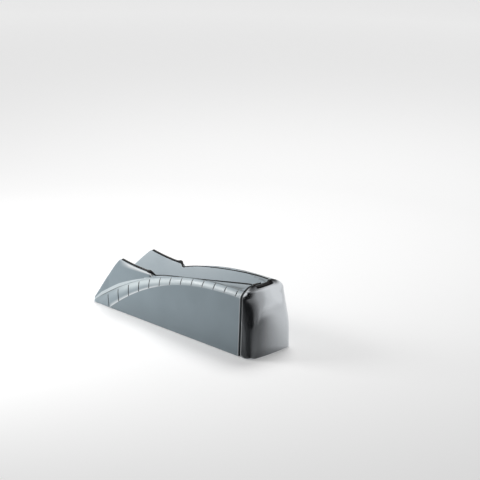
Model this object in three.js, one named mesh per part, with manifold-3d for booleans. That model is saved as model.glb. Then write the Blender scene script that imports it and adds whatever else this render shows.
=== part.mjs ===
// Front riser block: a hollow moulded body with a raised pair of wings and a curved channel,
// a separate end cap behind a rubber seam, a ribbed channel pad and a screwed base plate.
// Millimetres. +X runs from the low toe to the tall cap, +Z is up, the block rests on z = 0.
import * as THREE from 'three';
import { mergeVertices } from 'three/addons/utils/BufferGeometryUtils.js';
import Module from 'manifold-3d';

const wasm = await Module();
wasm.setup();

// Overall size
const blockLength = 314;
const baseWidth = 80.8;
const rimLevel = 0.8;
const sideDraftShare = 0.028;
const wall = 2.8;
const fitGap = 0.3;
const overrun = 6;

// Low end: a toe, a bulging front slope and two wings
const toeHeight = 4.5;
const toeRadius = 5;
const hornSetback = 49;
const hornHeight = 74;
const frontBulge = 5;
const frontCornerRadius = 8;
const wingCornerRadius = 1.5;
const wingSetback = 110;
const wingEndHeight = 69;
const wingTailLength = 8;
const wingLean = 1.2;

// Side panel: its arched outline and the raised band round it
const lowerArchSetback = 34;
const lowerArchHeight = 81.5;
const lowerArchPowerShare = 2.5;
const upperArchLead = 2;
const upperArchHeight = 89.2;
const upperArchPowerShare = 2.38;
const bandInsetLow = 4;
const bandInsetHigh = 6.2;
const bandGrowHeight = 20;
const bandBulge = 0.7;
const ledgeInset = 1.4;
const ledgeRise = 6;
const crestRise = 0.6;
const crestInset = 0.4;
const shoulderShare = 0.58;

// Cross ticks on the band
const tickSetback = 31;
const tickEndInset = 6;
const tickPitch = 20.8;
const tickWidth = 1.7;
const tickDepth = 0.8;
const tickLengthShare = 0.88;
const tickTiltShare = 0.6;

// Channel: an arc seen from the side, with sloping walls in section
const channelSetback = 104;
const channelLowLevel = 41.5;
const channelRadius = 365;
const channelHalfWidth = 13;
const channelEdgeInset = 13.65;
const channelDishLevel = 92.6;

// Lips of the channel behind the wings
const lipMidSetback = 157;
const lipMidHeight = 76;
const lipEndHeight = 95;
const lipPowerShare = 1.15;
const ridgeRise = 2;
const ridgeBlend = 2;
const lipLand = 2.6;

// End cap and the rubber in its seam
const capLength = 21.2;
const capWall = 2.6;
const seamGap = 2.6;
const sealInset = 0.7;
const sealWidth = 5;
const capCornerRadius = 12;
const capTopCornerAcross = 52;
const capCornerPowerShare = 3.2;
const capSwell = 0.6;
const capBulge = 2.4;
const capRakeStart = 16;
const capRake = 13;
const capRakePowerShare = 3.15;
const capCrown = 6;
const capFloor = 2.6;
const capSideShares = [0.2, 0.4, 0.6, 0.8];
const cornerRoomShare = 0.9;

// Bulkhead, ribs and screw posts inside the body
const bulkhead = 3;
const ribThickness = 2;
const ribClearance = 9;
const ribPlaceShares = [0.2, 0.4, 0.6, 0.8];
const coreGap = 4;
const coreStep = 1;
const frontWallShare = 1.2;
const postRadius = 4.6;
const screwHoleRadius = 2.05;
const screwHoleDepth = 14;

// Base plate and its feet
const plateLevel = 3;
const plateThickness = 2.6;
const footRadius = 9;
const footEdge = 1.2;
const footStemRadius = 2.5;
const footBulbRadius = 3.4;
const footBulbHeight = 2.6;
const footTipRadius = 1.6;
const footFrontSetback = 35;
const footRearInset = 20.2;
const footRowShares = [0, 0.5, 1];
const footSideInset = 18.4;

// Screws
const shankRadius = 1.75;
const headRadius = 3.5;
const headRimShare = 0.8;
const headHeight = 2;
const headDimpleRadius = 1.4;
const headDimpleDepth = 1.1;
const baseScrewLength = 14;
const baseScrewFrontSetback = 59;
const baseScrewRearInset = 42.2;
const baseScrewRowShares = [0, 0.634, 1];
const baseScrewSideInset = 10.4;
const capScrewLength = 13;
const capScrewRise = 16.6;
const capScrewDrop = 24;
const capScrewLowInset = 17;
const capScrewHighInset = 18.5;

// Channel pad
const padSetback = 35;
const padEndGap = 11;
const padThickness = 2.4;
const padRibHeight = 0.8;
const padRibPitch = 9;
const padRibWidth = 4;
const padEdge = 1;

// Edge beads on the lips of the channel
const beadWingWidth = 3.4;
const beadWingHeight = 1.6;
const beadLipWidth = 1.8;
const beadLipHeight = 1.1;
const beadHornInset = 2;
const beadEndInset = 1;

// Numbers of sides, stations and steps
const footSides = 20;
const screwSides = 12;
const postSides = 16;
const holeSides = 12;
const bodySteps = 44;
const channelSteps = 44;
const hollowSteps = 34;
const hollowSideSteps = 5;
const cornerSteps = 5;
const shoulderSteps = 4;
const beadSteps = 6;

// Places worked out from the sizes above
const toeX = -blockLength / 2;
const endX = blockLength / 2;
const capFaceX = endX - capLength;
const bodyEndX = capFaceX - seamGap;
const bulkheadX = bodyEndX - bulkhead;
const hornX = toeX + hornSetback;
const wingEndX = toeX + wingSetback;
const wingTailX = wingEndX + wingTailLength;
const channelLowX = toeX + channelSetback;
const lipMidX = toeX + lipMidSetback;
const baseHalf = baseWidth / 2;
const channelFlareShare = (baseHalf - channelEdgeInset - channelHalfWidth) / (wingEndHeight - channelLowLevel);
const plateTop = plateLevel + plateThickness;
const cutDepth = lipEndHeight / 2;
const sides = [-1, 1];

const mix = (a, b, share) => a + (b - a) * share;
const clampShare = (value) => Math.min(1, Math.max(0, value));
const ease = (share) => share * share * (3 - 2 * share);
const between = (x, from, to) => clampShare((x - from) / (to - from));
const counted = (count) => Array.from({ length: count + 1 }, (_, i) => i / count);

// Heights along the block
const arch = (x, footX, height, power) =>
  height * (1 - Math.max(0, (bodyEndX - x) / (bodyEndX - footX)) ** power);
const lowerArch = (x) => arch(x, toeX + lowerArchSetback, lowerArchHeight, lowerArchPowerShare);
const upperArch = (x) => arch(x, toeX - upperArchLead, upperArchHeight, upperArchPowerShare);

// The lip follows the arch behind the wings, then leaves it for its own gentler curve
function lipLevel(x) {
  const endShare = between(x, lipMidX, bodyEndX);
  const run = Math.max(0, (bodyEndX - x) / (bodyEndX - lipMidX));
  const own = mix(lipEndHeight, lipMidHeight, run ** lipPowerShare);
  const ridge = upperArch(x) + ridgeRise + (lipEndHeight - upperArchHeight) * ease(endShare);
  return (own + ridge - Math.hypot(own - ridge, ridgeBlend)) / 2;
}

function frontLevel(x) {
  const share = between(x, toeX, hornX);
  return mix(toeHeight, hornHeight, share) + 4 * frontBulge * share * (1 - share);
}

function wingLevel(x) {
  const share = (wingEndX - x) / (wingEndX - hornX);
  return mix(wingEndHeight, hornHeight, share * share);
}

function topLevel(x) {
  if (x < hornX) return frontLevel(x);
  if (x < wingEndX) return wingLevel(x);
  return mix(wingEndHeight, lipLevel(x), ease(between(x, wingEndX, wingTailX)));
}

function channelFloor(x) {
  const run = x - channelLowX;
  const rise = channelRadius - Math.sqrt(channelRadius ** 2 - run ** 2);
  return Math.min(channelLowLevel + rise, channelDishLevel);
}

const channelHalfAt = (x, level) => channelHalfWidth + channelFlareShare * (level - channelFloor(x));
const sideHalfAt = (level) => baseHalf - sideDraftShare * level;

// Plan rounding of the toe: how far every side point steps in near the tip
function toeInset(x) {
  const run = toeX + toeRadius - x;
  if (run <= 0) return 0;
  return toeRadius - Math.sqrt(Math.max(0, toeRadius ** 2 - run ** 2));
}

// Outline of the body across its length at x, as [y, z] from the bottom up, for y > 0
function outerHalf(x) {
  const wing = 1 - ease(between(x, wingEndX, wingTailX));
  const top = topLevel(x);
  const low = lowerArch(x);
  const high = upperArch(x);
  const room = top - high;
  const inset = toeInset(x);
  const grown = between(high, 0, bandGrowHeight);
  const bandInset = grown * mix(bandInsetLow, bandInsetHigh, between(x, toeX, bodyEndX));
  const lowY = sideHalfAt(low);
  const highY = sideHalfAt(high) - bandInset;
  const rise = mix(crestRise, Math.min(ledgeRise * between(x, wingTailX, hornX), room / 3), wing);
  const ledgeY = highY - grown * mix(crestInset, ledgeInset, wing);
  const ledgeZ = high + Math.max(rise, room / 10);
  const cornerWanted = mix(frontCornerRadius, wingCornerRadius, between(x, toeX, hornX));
  const corner = Math.min(cornerWanted, top / 2);
  const faceY = ledgeY - wingLean * between(top, ledgeZ, hornHeight);
  const cornerZ = Math.max(top - corner, mix(ledgeZ, top, 1 / 3));
  const lipY = mix(channelHalfAt(x, top) + lipLand, faceY - corner, wing);
  const outY = mix(mix(ledgeY, lipY, 1 / 8), faceY, wing);
  const outZ = mix(mix(ledgeZ, top, 1 / 8), cornerZ, wing);
  const turnY = mix(lipY, outY, mix(shoulderShare, 1, wing));
  const points = [
    [sideHalfAt(-cutDepth), -cutDepth],
    [lowY, low],
    [mix(lowY, highY, 1 / 3) + bandBulge, mix(low, high, 1 / 3) + bandBulge / 2],
    [mix(lowY, highY, 2 / 3) + bandBulge, mix(low, high, 2 / 3) + bandBulge / 2],
    [highY, high],
    [ledgeY, ledgeZ],
  ];
  for (const t of counted(shoulderSteps)) {
    points.push([
      mix(mix(outY, turnY, t), mix(turnY, lipY, t), t),
      mix(mix(outZ, top, t), top, t),
    ]);
  }
  return points.map(([y, z]) => [y - inset, z]);
}

// Half-width of an outline at a level, read from its points
function halfWidthAt(half, level) {
  for (let i = 1; i < half.length; i += 1) {
    const [y0, z0] = half[i - 1];
    const [y1, z1] = half[i];
    if (level <= z1) return mix(y0, y1, (level - z0) / (z1 - z0));
  }
  return half[half.length - 1][0];
}

const mirrored = (half) => [...half, ...half.map(([y, z]) => [-y, z]).reverse()];

// Rings of [u, v] points, counter-clockwise about the way they are stacked, become a closed solid
function loft(rings, place) {
  const count = rings[0].length;
  const positions = rings.flatMap((ring, i) => ring.flatMap(([u, v]) => place(i, u, v)));
  const index = [];
  for (let i = 0; i + 1 < rings.length; i += 1) {
    for (let j = 0; j < count; j += 1) {
      const a = i * count + j;
      const b = i * count + ((j + 1) % count);
      index.push(a, b, a + count, b, b + count, a + count);
    }
  }
  const lid = (ring) => THREE.ShapeUtils.triangulateShape(
    ring.map(([u, v]) => new THREE.Vector2(u, v)), []);
  const last = (rings.length - 1) * count;
  for (const [a, b, c] of lid(rings[0])) index.push(c, b, a);
  for (const [a, b, c] of lid(rings[rings.length - 1])) index.push(last + a, last + b, last + c);
  const geometry = new THREE.BufferGeometry();
  geometry.setAttribute('position', new THREE.Float32BufferAttribute(positions, 3));
  geometry.setIndex(index);
  return geometry;
}

const loftAlongX = (stations, ringAt) =>
  solid(loft(stations.map(ringAt), (i, y, z) => [stations[i], y, z]));

function solid(geometry) {
  const bare = geometry.clone();
  bare.deleteAttribute('normal');
  bare.deleteAttribute('uv');
  const merged = mergeVertices(bare);
  return new wasm.Manifold(new wasm.Mesh({
    numProp: 3,
    vertProperties: new Float32Array(merged.attributes.position.array),
    triVerts: new Uint32Array(merged.index.array),
  }));
}

function geometryOf(shape) {
  const mesh = shape.getMesh();
  const geometry = new THREE.BufferGeometry();
  geometry.setAttribute('position', new THREE.BufferAttribute(mesh.vertProperties, 3));
  geometry.setIndex(new THREE.BufferAttribute(mesh.triVerts, 1));
  const flat = geometry.toNonIndexed();
  flat.computeVertexNormals();
  return flat;
}

// A box given by its low and high corners
function block(low, high) {
  const box = new THREE.BoxGeometry(high[0] - low[0], high[1] - low[1], high[2] - low[2]);
  box.translate((high[0] + low[0]) / 2, (high[1] + low[1]) / 2, (high[2] + low[2]) / 2);
  return solid(box);
}

// A slab square to the block's length, as wide as it needs to be for any cut
const slabAcross = (fromX, toX, fromZ, toZ) =>
  block([fromX, -baseWidth, fromZ], [toX, baseWidth, toZ]);

// A round bar from one point to another
function bar(from, to, radius, sideCount) {
  const start = new THREE.Vector3(...from);
  const way = new THREE.Vector3(...to).sub(start);
  const cylinder = new THREE.CylinderGeometry(radius, radius, way.length(), sideCount);
  cylinder.translate(0, way.length() / 2, 0);
  cylinder.applyQuaternion(new THREE.Quaternion().setFromUnitVectors(
    new THREE.Vector3(0, 1, 0), way.clone().normalize()));
  cylinder.translate(start.x, start.y, start.z);
  return solid(cylinder);
}

// A turned piece about its own +Z axis, from a profile of [radius, height]
function turned(profile, sideCount) {
  const lathe = new THREE.LatheGeometry(profile.map(([r, z]) => new THREE.Vector2(r, z)), sideCount);
  lathe.rotateX(Math.PI / 2);
  return lathe;
}

const joined = (shapes) => shapes.reduce((a, b) => a.add(b));

// Even stations with some extra ones, none closer together than half a fit gap
function stationsBetween(from, to, count, extra = []) {
  const even = counted(count).map((share) => mix(from, to, share));
  const all = [...even, ...extra.filter((x) => x > from && x < to)].sort((a, b) => a - b);
  return all.filter((x, i) => i === 0 || x - all[i - 1] > fitGap / 2);
}

// Body outside
const toeStations = [1, 2, 3, 4, 5].map((k) => toeX + toeRadius * (1 - Math.cos((k * Math.PI) / 12)));
const tailStations = counted(4).map((share) => mix(wingEndX, wingTailX, share));
const keyStations = [...toeStations, hornX, ...tailStations];
const bodyStations = stationsBetween(toeX, bodyEndX, bodySteps, keyStations);
const bodyOutside = loftAlongX(bodyStations, (x) => mirrored(outerHalf(x)));

// The channel as a cutter, wider by a side gap and lower by a depth gap
function channelCut(sideGap, depthGap) {
  const half = channelHalfWidth + sideGap;
  return loftAlongX(stationsBetween(toeX - overrun, endX + overrun, channelSteps), (x) => {
    const floor = channelFloor(x) - depthGap;
    return mirrored([
      [half, floor],
      [half + channelFlareShare * lipEndHeight, floor + lipEndHeight],
    ]);
  });
}

// Hollow of the body, left open below. It climbs between the side and the channel wall
function hollow(thickness, fromX, toX) {
  const wallAcross = thickness * Math.hypot(1, channelFlareShare);
  const ringAt = (x) => {
    const half = outerHalf(x);
    const roofX = x < hornX ? x - thickness * frontWallShare : x;
    const roof = Math.max(topLevel(roofX) - thickness, thickness);
    const middle = Math.min(channelFloor(x) - thickness, roof);
    const channelSide = (z) => channelHalfAt(x, Math.max(z, channelFloor(x))) + wallAcross;
    let level = roof;
    while (level > middle && halfWidthAt(half, level) - thickness - channelSide(level) < coreGap) {
      level -= coreStep;
    }
    const sideAt = (z) => Math.max(halfWidthAt(half, z) - thickness, thickness);
    const innerY = Math.min(channelSide(level), sideAt(level) - fitGap);
    const baseY = Math.min(channelHalfWidth + wallAcross, innerY - fitGap);
    return mirrored([
      [sideAt(-cutDepth), -cutDepth],
      ...counted(hollowSideSteps).map((share) => [sideAt(level * share), level * share]),
      [innerY, level],
      [baseY, middle],
    ]);
  };
  return loftAlongX(stationsBetween(fromX, toX, hollowSteps, keyStations), ringAt);
}

const hollowFromX = toeX + 2 * wall;
const capRoof = channelFloor(capFaceX) - capWall;
const sideName = (side) => (side < 0 ? 'near' : 'far');
const rowNames = ['front', 'middle', 'rear'];

// Pieces in rows along the base, one on each side
const inRows = (kind, fromX, toX, shares, y) => shares.flatMap((share, i) => sides.map((side) => ({
  name: `${kind}_${rowNames[i]}_${sideName(side)}`,
  x: mix(fromX, toX, share),
  y: side * y,
})));
const feet = inRows('foot', toeX + footFrontSetback, bulkheadX - footRearInset,
  footRowShares, baseHalf - footSideInset);
const baseScrews = inRows('base_screw', toeX + baseScrewFrontSetback, bulkheadX - baseScrewRearInset,
  baseScrewRowShares, baseHalf - baseScrewSideInset);
const capScrewPlaces = [
  { name: 'low', inset: capScrewLowInset, level: rimLevel + capFloor + capScrewRise },
  { name: 'high', inset: capScrewHighInset, level: capRoof - capScrewDrop },
];
const capScrews = capScrewPlaces.flatMap(({ name, inset, level }) => sides.map((side) => ({
  name: `cap_screw_${name}_${sideName(side)}`,
  y: side * (sideHalfAt(level) - inset),
  z: level,
})));
const ribs = ribPlaceShares.map((share) => mix(hollowFromX, bulkheadX, share)).map((x) =>
  slabAcross(x - ribThickness / 2, x + ribThickness / 2, ribClearance, lipEndHeight));
const posts = baseScrews.map(({ x, y }) =>
  bar([x, y, plateTop + fitGap], [x, y, lipEndHeight], postRadius, postSides));

// Cross ticks: small slots laid along the band, leaning with the arch
function tick(x, side) {
  const low = [sideHalfAt(Math.max(lowerArch(x), rimLevel)), Math.max(lowerArch(x), rimLevel)];
  const [high] = outerHalf(x).slice(4);
  const [spanY, spanZ] = [side * (high[0] - low[0]), high[1] - low[1]];
  const slope = (lowerArch(x + tickWidth) - lowerArch(x - tickWidth)) / (2 * tickWidth);
  const lean = Math.sin(Math.atan(slope) * tickTiltShare);
  const along = new THREE.Vector3(-lean * Math.hypot(spanY, spanZ), spanY, spanZ).normalize();
  const outward = new THREE.Vector3(0, side * spanZ, -side * spanY).normalize();
  const across = new THREE.Vector3().crossVectors(along, outward).normalize();
  outward.crossVectors(across, along);
  const box = new THREE.BoxGeometry(tickWidth, Math.hypot(spanY, spanZ) * tickLengthShare, 2 * tickDepth);
  box.applyMatrix4(new THREE.Matrix4().makeBasis(across, along, outward));
  const y = side * (mix(low[0], high[0], 1 / 2) + bandBulge);
  box.translate(x, y, mix(low[1], high[1], 1 / 2) + bandBulge / 2);
  return solid(box);
}

const tickXs = [];
for (let x = toeX + tickSetback; x < bodyEndX - tickEndInset; x += tickPitch) tickXs.push(x);
const ticks = joined(tickXs.flatMap((x) => sides.map((side) => tick(x, side))));

function makeBody() {
  const aboveRim = slabAcross(toeX - overrun, endX + overrun, rimLevel, lipEndHeight + overrun);
  const inside = hollow(wall, hollowFromX, bulkheadX).subtract(joined([...ribs, ...posts]));
  const holeTop = plateTop + fitGap + screwHoleDepth;
  const postHoles = baseScrews.map(({ x, y }) =>
    bar([x, y, plateTop - overrun], [x, y, holeTop], screwHoleRadius, holeSides));
  const bulkheadHoles = capScrews.map(({ y, z }) => bar(
    [bulkheadX - overrun, y, z], [bodyEndX + overrun, y, z], screwHoleRadius + fitGap, holeSides));
  return bodyOutside
    .intersect(aboveRim)
    .subtract(channelCut(0, 0))
    .subtract(inside)
    .subtract(joined([...postHoles, ...bulkheadHoles]))
    .subtract(ticks);
}

// End cap: plan outlines stacked from the rim up, following the body's own end outline
function capEndAt(level) {
  const rakeShare = between(level, capRakeStart, upperArchHeight);
  const crownShare = between(level, upperArchHeight - capCrown, lipEndHeight);
  const crown = capCrown * (1 - Math.sqrt(1 - crownShare ** 2));
  return endX - capRake * rakeShare ** capRakePowerShare - crown;
}

// Plan outline of the cap at a level: straight at the seam, with rounded corners that spread
// across the block as they climb, and a slightly bulging end
function capOutline(level, halfWidth, faceX, tipX, inset) {
  const bulge = capBulge * between(halfWidth, 0, baseHalf);
  const room = tipX - bulge - faceX;
  const climb = between(level, capRakeStart, upperArchHeight);
  const spread = mix(capCornerRadius, capTopCornerAcross, climb ** capCornerPowerShare);
  const along = Math.min(spread - inset, room * cornerRoomShare);
  const across = Math.min(spread - inset, halfWidth * cornerRoomShare);
  const sideY = halfWidth + capSwell;
  const bulgedX = (y) => tipX - bulge * (y / sideY) ** 2;
  const lowCorner = counted(cornerSteps).map((share) => {
    const a = (share * Math.PI) / 2;
    const y = -sideY + across - across * Math.cos(a);
    return [bulgedX(y) - along + along * Math.sin(a), y];
  });
  const face = [-1 / 2, 0, 1 / 2].map((share) => share * (sideY - across)).map((y) => [bulgedX(y), y]);
  const highCorner = lowCorner.map(([x, y]) => [x, -y]).reverse();
  return [[faceX, -halfWidth], ...lowCorner, ...face, ...highCorner, [faceX, halfWidth]];
}

function capSolid(levels, halfAt, endAt, faceX, inset) {
  const rings = levels.map((z) => capOutline(z, halfAt(z), faceX, endAt(z), inset));
  return solid(loft(rings, (i, x, y) => [x, y, levels[i]]));
}

const endHalf = outerHalf(bodyEndX);
const capSideLevels = capSideShares.map((share) => mix(capRakeStart, lowerArchHeight, share));
const capLevels = [rimLevel, capRakeStart, ...capSideLevels, ...endHalf.slice(1).map(([, z]) => z)];

function makeCap() {
  const outside = capSolid(capLevels, (z) => halfWidthAt(endHalf, z), capEndAt, capFaceX, 0);
  const climb = [0, ...capSideShares, 1].map((share) => mix(capRakeStart, capRoof, share));
  const inside = capSolid(
    [rimLevel + capFloor, ...climb],
    (z) => halfWidthAt(endHalf, z + capWall / 2) - capWall,
    (z) => capEndAt(z + capWall / 2) - capWall,
    capFaceX - overrun,
    capWall);
  const bosses = joined(capScrews.map(({ y, z }) =>
    bar([capFaceX, y, z], [endX - capWall, y, z], postRadius, postSides)));
  const holeEndX = bulkheadX + capScrewLength + fitGap;
  const holes = joined(capScrews.map(({ y, z }) =>
    bar([capFaceX - overrun, y, z], [holeEndX, y, z], screwHoleRadius, holeSides)));
  return outside
    .subtract(inside.subtract(bosses))
    .subtract(channelCut(0, 0))
    .subtract(holes);
}

// Seam seal: a flat rubber ring, a little smaller than the outline of the body's end
function makeSeal() {
  const ringAt = (inset) => mirrored([
    [sideHalfAt(rimLevel) - inset, rimLevel + inset],
    ...endHalf.slice(1).map(([y, z]) => [y - inset, z - inset]),
  ]);
  const slab = (inset, from, to) => loftAlongX([from, to], () => ringAt(inset));
  const outside = slab(sealInset, bodyEndX + fitGap, capFaceX - fitGap);
  const inside = slab(sealInset + sealWidth, bodyEndX - overrun, capFaceX + overrun);
  const underDish = slabAcross(
    bodyEndX - overrun, capFaceX + overrun, channelFloor(bodyEndX) - sealWidth, lipEndHeight + overrun);
  return outside.subtract(inside.subtract(underDish)).subtract(channelCut(fitGap, fitGap));
}

// Channel pad: lies on the channel floor, with cross ribs
function makePad() {
  const fromX = toeX + padSetback;
  const toX = bodyEndX - padEndGap;
  const ribStarts = [];
  for (let x = channelLowX + padRibPitch / 2; x + padRibWidth < toX - padEdge; x += padRibPitch) {
    ribStarts.push(x);
  }
  for (let x = channelLowX - padRibPitch / 2 - padRibWidth; x > fromX + padEdge; x -= padRibPitch) {
    ribStarts.push(x);
  }
  const stations = [{ x: fromX, rib: 0 }, { x: toX, rib: 0 }];
  for (const x of ribStarts) {
    stations.push({ x, rib: 0 });
    stations.push({ x: x + padRibHeight, rib: 1 });
    stations.push({ x: x + padRibWidth - padRibHeight, rib: 1 });
    stations.push({ x: x + padRibWidth, rib: 0 });
  }
  stations.sort((a, b) => a.x - b.x);
  const half = channelHalfWidth - fitGap;
  const rings = stations.map(({ x, rib }) => {
    const bottom = channelFloor(x) + fitGap;
    const top = bottom + padThickness;
    const crest = top + rib * padRibHeight;
    return mirrored([[half, bottom], [half, top - padEdge], [half - padEdge, crest]]);
  });
  return solid(loft(rings, (i, y, z) => [stations[i].x, y, z]));
}

// Edge bead along one lip of the channel, tapered at both ends
function makeBead(side) {
  const fromX = hornX + beadHornInset;
  const toX = bodyEndX - beadEndInset;
  const stations = [fromX, ...bodyStations.filter((x) => x > fromX && x < toX), toX];
  return loftAlongX(stations, (x) => {
    const wing = 1 - ease(between(x, wingEndX, wingTailX));
    const width = mix(beadLipWidth, beadWingWidth, wing);
    const height = mix(beadLipHeight, beadWingHeight, wing);
    const fromEnd = Math.min(x - fromX, toX - x);
    const endShare = between(fromEnd, -beadEndInset, width);
    const middle = side * (channelHalfAt(x, topLevel(x)) + fitGap + width / 2);
    const base = topLevel(x) + fitGap;
    return counted(beadSteps).map((share) => {
      const swell = height * ease(endShare) + fitGap / 2;
      const level = share > 0 && share < 1 ? swell * Math.sin(share * Math.PI) : 0;
      return [middle + (width / 2) * Math.cos(share * Math.PI), base + level];
    });
  });
}

// Base plate: closes the hollow from below and carries the feet
function makeBasePlate() {
  const room = hollow(wall + fitGap, hollowFromX + fitGap, bulkheadX - fitGap);
  const slab = slabAcross(toeX - overrun, endX, plateLevel, plateTop);
  const through = (x, y, radius, sideCount) =>
    bar([x, y, plateLevel - overrun], [x, y, plateTop + overrun], radius + fitGap, sideCount);
  const holes = [
    ...baseScrews.map(({ x, y }) => through(x, y, shankRadius, holeSides)),
    ...feet.map(({ x, y }) => through(x, y, footStemRadius, footSides)),
  ];
  return room.intersect(slab).subtract(joined(holes));
}

// Rubber foot: a round pad with a stem and a bulb that snaps through the plate
function footGeometry() {
  const neck = plateLevel - fitGap;
  const bulb = plateTop + fitGap;
  return turned([
    [0, 0],
    [footRadius - footEdge, 0],
    [footRadius, footEdge],
    [footRadius, neck],
    [footStemRadius, neck],
    [footStemRadius, bulb],
    [footBulbRadius, bulb],
    [footTipRadius, bulb + footBulbHeight],
    [0, bulb + footBulbHeight],
  ], footSides);
}

// Pan-head screw: the head hangs below zero, the shank climbs along +Z
function screwGeometry(length) {
  return turned([
    [0, headDimpleDepth - headHeight],
    [headDimpleRadius, headDimpleDepth - headHeight],
    [headDimpleRadius, -headHeight],
    [headRadius * headRimShare, -headHeight],
    [headRadius, -headHeight / 2],
    [headRadius, 0],
    [shankRadius, 0],
    [shankRadius, length - shankRadius],
    [shankRadius / 3, length],
    [0, length],
  ], screwSides);
}

const finish = (color, roughness, metalness = 0) =>
  new THREE.MeshStandardMaterial({ color, roughness, metalness });
const finishes = {
  bodyPlastic: () => finish(0x7f8d96, 0.45),
  capPlastic: () => finish(0x51565b, 0.25),
  blackRubber: () => finish(0x1b1c1e, 0.8),
  platePlastic: () => finish(0x3c4145, 0.6),
  footRubber: () => finish(0x242526, 0.85),
  zincSteel: () => finish(0xb9bcc0, 0.35, 0.9),
};

const riser = new THREE.Group();

function piece(name, geometry, material, position = [0, 0, 0], rotation = [0, 0, 0]) {
  const mesh = new THREE.Mesh(geometry, material);
  mesh.name = name;
  mesh.position.set(...position);
  mesh.rotation.set(...rotation);
  riser.add(mesh);
}

piece('body_shell', geometryOf(makeBody()), finishes.bodyPlastic());
piece('end_cap', geometryOf(makeCap()), finishes.capPlastic());
piece('seam_seal', geometryOf(makeSeal()), finishes.blackRubber());
piece('channel_pad', geometryOf(makePad()), finishes.blackRubber());
for (const side of sides) {
  piece(`lip_bead_${sideName(side)}`, geometryOf(makeBead(side)), finishes.blackRubber());
}
piece('base_plate', geometryOf(makeBasePlate()), finishes.platePlastic());
for (const { name, x, y } of feet) {
  piece(name, footGeometry(), finishes.footRubber(), [x, y, 0]);
}
for (const { name, x, y } of baseScrews) {
  piece(name, screwGeometry(baseScrewLength), finishes.zincSteel(), [x, y, plateLevel - fitGap]);
}
for (const { name, y, z } of capScrews) {
  const place = [bulkheadX - fitGap, y, z];
  piece(name, screwGeometry(capScrewLength), finishes.zincSteel(), place, [0, Math.PI / 2, 0]);
}

export default riser;
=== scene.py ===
"""Front riser block of a bike trainer, dressed round its packed frame.

Lengths are worked out in millimetres, with +X from the low toe to the tall end cap and +Z up,
and become metres when they are put into a mesh.
"""
import math
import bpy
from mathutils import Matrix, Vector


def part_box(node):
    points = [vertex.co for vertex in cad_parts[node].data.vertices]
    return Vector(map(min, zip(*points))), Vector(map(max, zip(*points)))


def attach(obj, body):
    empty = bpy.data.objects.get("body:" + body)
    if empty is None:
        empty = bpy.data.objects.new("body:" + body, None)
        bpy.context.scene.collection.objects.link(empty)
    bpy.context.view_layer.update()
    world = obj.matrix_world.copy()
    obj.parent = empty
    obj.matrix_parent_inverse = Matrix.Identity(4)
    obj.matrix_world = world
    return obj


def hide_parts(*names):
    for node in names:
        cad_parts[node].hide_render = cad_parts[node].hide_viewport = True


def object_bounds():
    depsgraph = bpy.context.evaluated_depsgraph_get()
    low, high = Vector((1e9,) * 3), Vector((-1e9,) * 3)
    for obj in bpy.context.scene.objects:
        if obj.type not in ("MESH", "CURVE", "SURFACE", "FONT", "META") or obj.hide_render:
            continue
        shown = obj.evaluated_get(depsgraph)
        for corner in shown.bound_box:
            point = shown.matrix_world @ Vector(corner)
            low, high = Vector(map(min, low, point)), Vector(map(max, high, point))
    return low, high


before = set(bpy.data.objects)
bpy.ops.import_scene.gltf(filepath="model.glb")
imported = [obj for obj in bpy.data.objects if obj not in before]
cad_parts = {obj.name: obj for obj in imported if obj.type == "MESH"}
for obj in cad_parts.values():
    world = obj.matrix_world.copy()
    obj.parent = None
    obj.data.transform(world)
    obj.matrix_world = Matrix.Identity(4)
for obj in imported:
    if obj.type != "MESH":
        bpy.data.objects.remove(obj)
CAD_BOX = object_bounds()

from types import SimpleNamespace

import bmesh
import bpy
import numpy as np
from mathutils import Matrix, Vector

bl_info = {
    "name": "Front Riser Block",
    "version": (1, 0, 0),
    "blender": (4, 5, 0),
    "location": "3D View > Sidebar > Riser",
    "description": "Builds the skin, rubber and fixings of a front riser block round its frame",
    "category": "Object",
}

MM = 0.001
CAD_LENGTH = CAD_BOX[1][0] - CAD_BOX[0][0]
SIDES = {"near": -1, "far": 1}
ROWS = ("front", "middle", "rear")
HEIGHTS = ("low", "high")
RIGHT_ANGLE = math.pi / 2.0

# Fixed sizes in millimetres, and shares. The sizes that a user would change are in the panel.
# A foot is where an arch starts, from the toe. Soft is the reach of a rounded meeting, a power shapes
# a curve, and a gap, land or room is left free between two surfaces.

BODY = SimpleNamespace(
    bulkhead=3.0, wing_tail=8.0, lip_mid_setback=157.0, draft=0.028, toe_corner=5.0, toe_tip=2.0,
    slope_bulge=20.0, top_soft=1.6, lower_foot=34.0, lower_power=2.5, upper_foot=-2.0, upper_power=2.38,
    lip_power=1.15, ridge=2.0, ridge_soft=2.0, lip_land=2.6, lip_turn=0.58, wing_lean=1.2,
    shoulder_toe=8.0, shoulder_horn=1.5, hollow_room=4.0, hollow_gap=0.3, hollow_end=0.01)
BAND = SimpleNamespace(full_level=20.0, inset_toe=4.0, inset_seam=6.2, bulge=0.7, lift=0.35)
LEDGE = SimpleNamespace(step=0.6, slope=6.0, lip_inset=0.4, wing_inset=1.4)
GROOVE = SimpleNamespace(gap=1.0, bottom=0.35, out=0.8, past=1.5)
CHANNEL = SimpleNamespace(soft=1.6, edge_soft=0.5, least_wall=2.4, least_land=1.4)
TICK = SimpleNamespace(seam_gap=6.0, lean=0.6, out=3.0, corners=16)
CAP = SimpleNamespace(
    wall=2.6, foot_radius=0.9, lip_radius=2.0, rake=13.0, rake_foot=16.0, rake_power=3.15, crown=6.0,
    crown_drop=6.0, bulge=2.4, swell=0.6, corner_low=12.0, corner_high=52.0, corner_power=3.2,
    inner_lift=1.3, soft=0.4, step=0.005, levels=((3.0, 80.0, 1.6), (80.0, 93.0, 0.35)))
SEAL = SimpleNamespace(inset=0.75, gap=0.02, swell=0.014, width=0.13, middle=48.0, foot_half=20.0)
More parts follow.
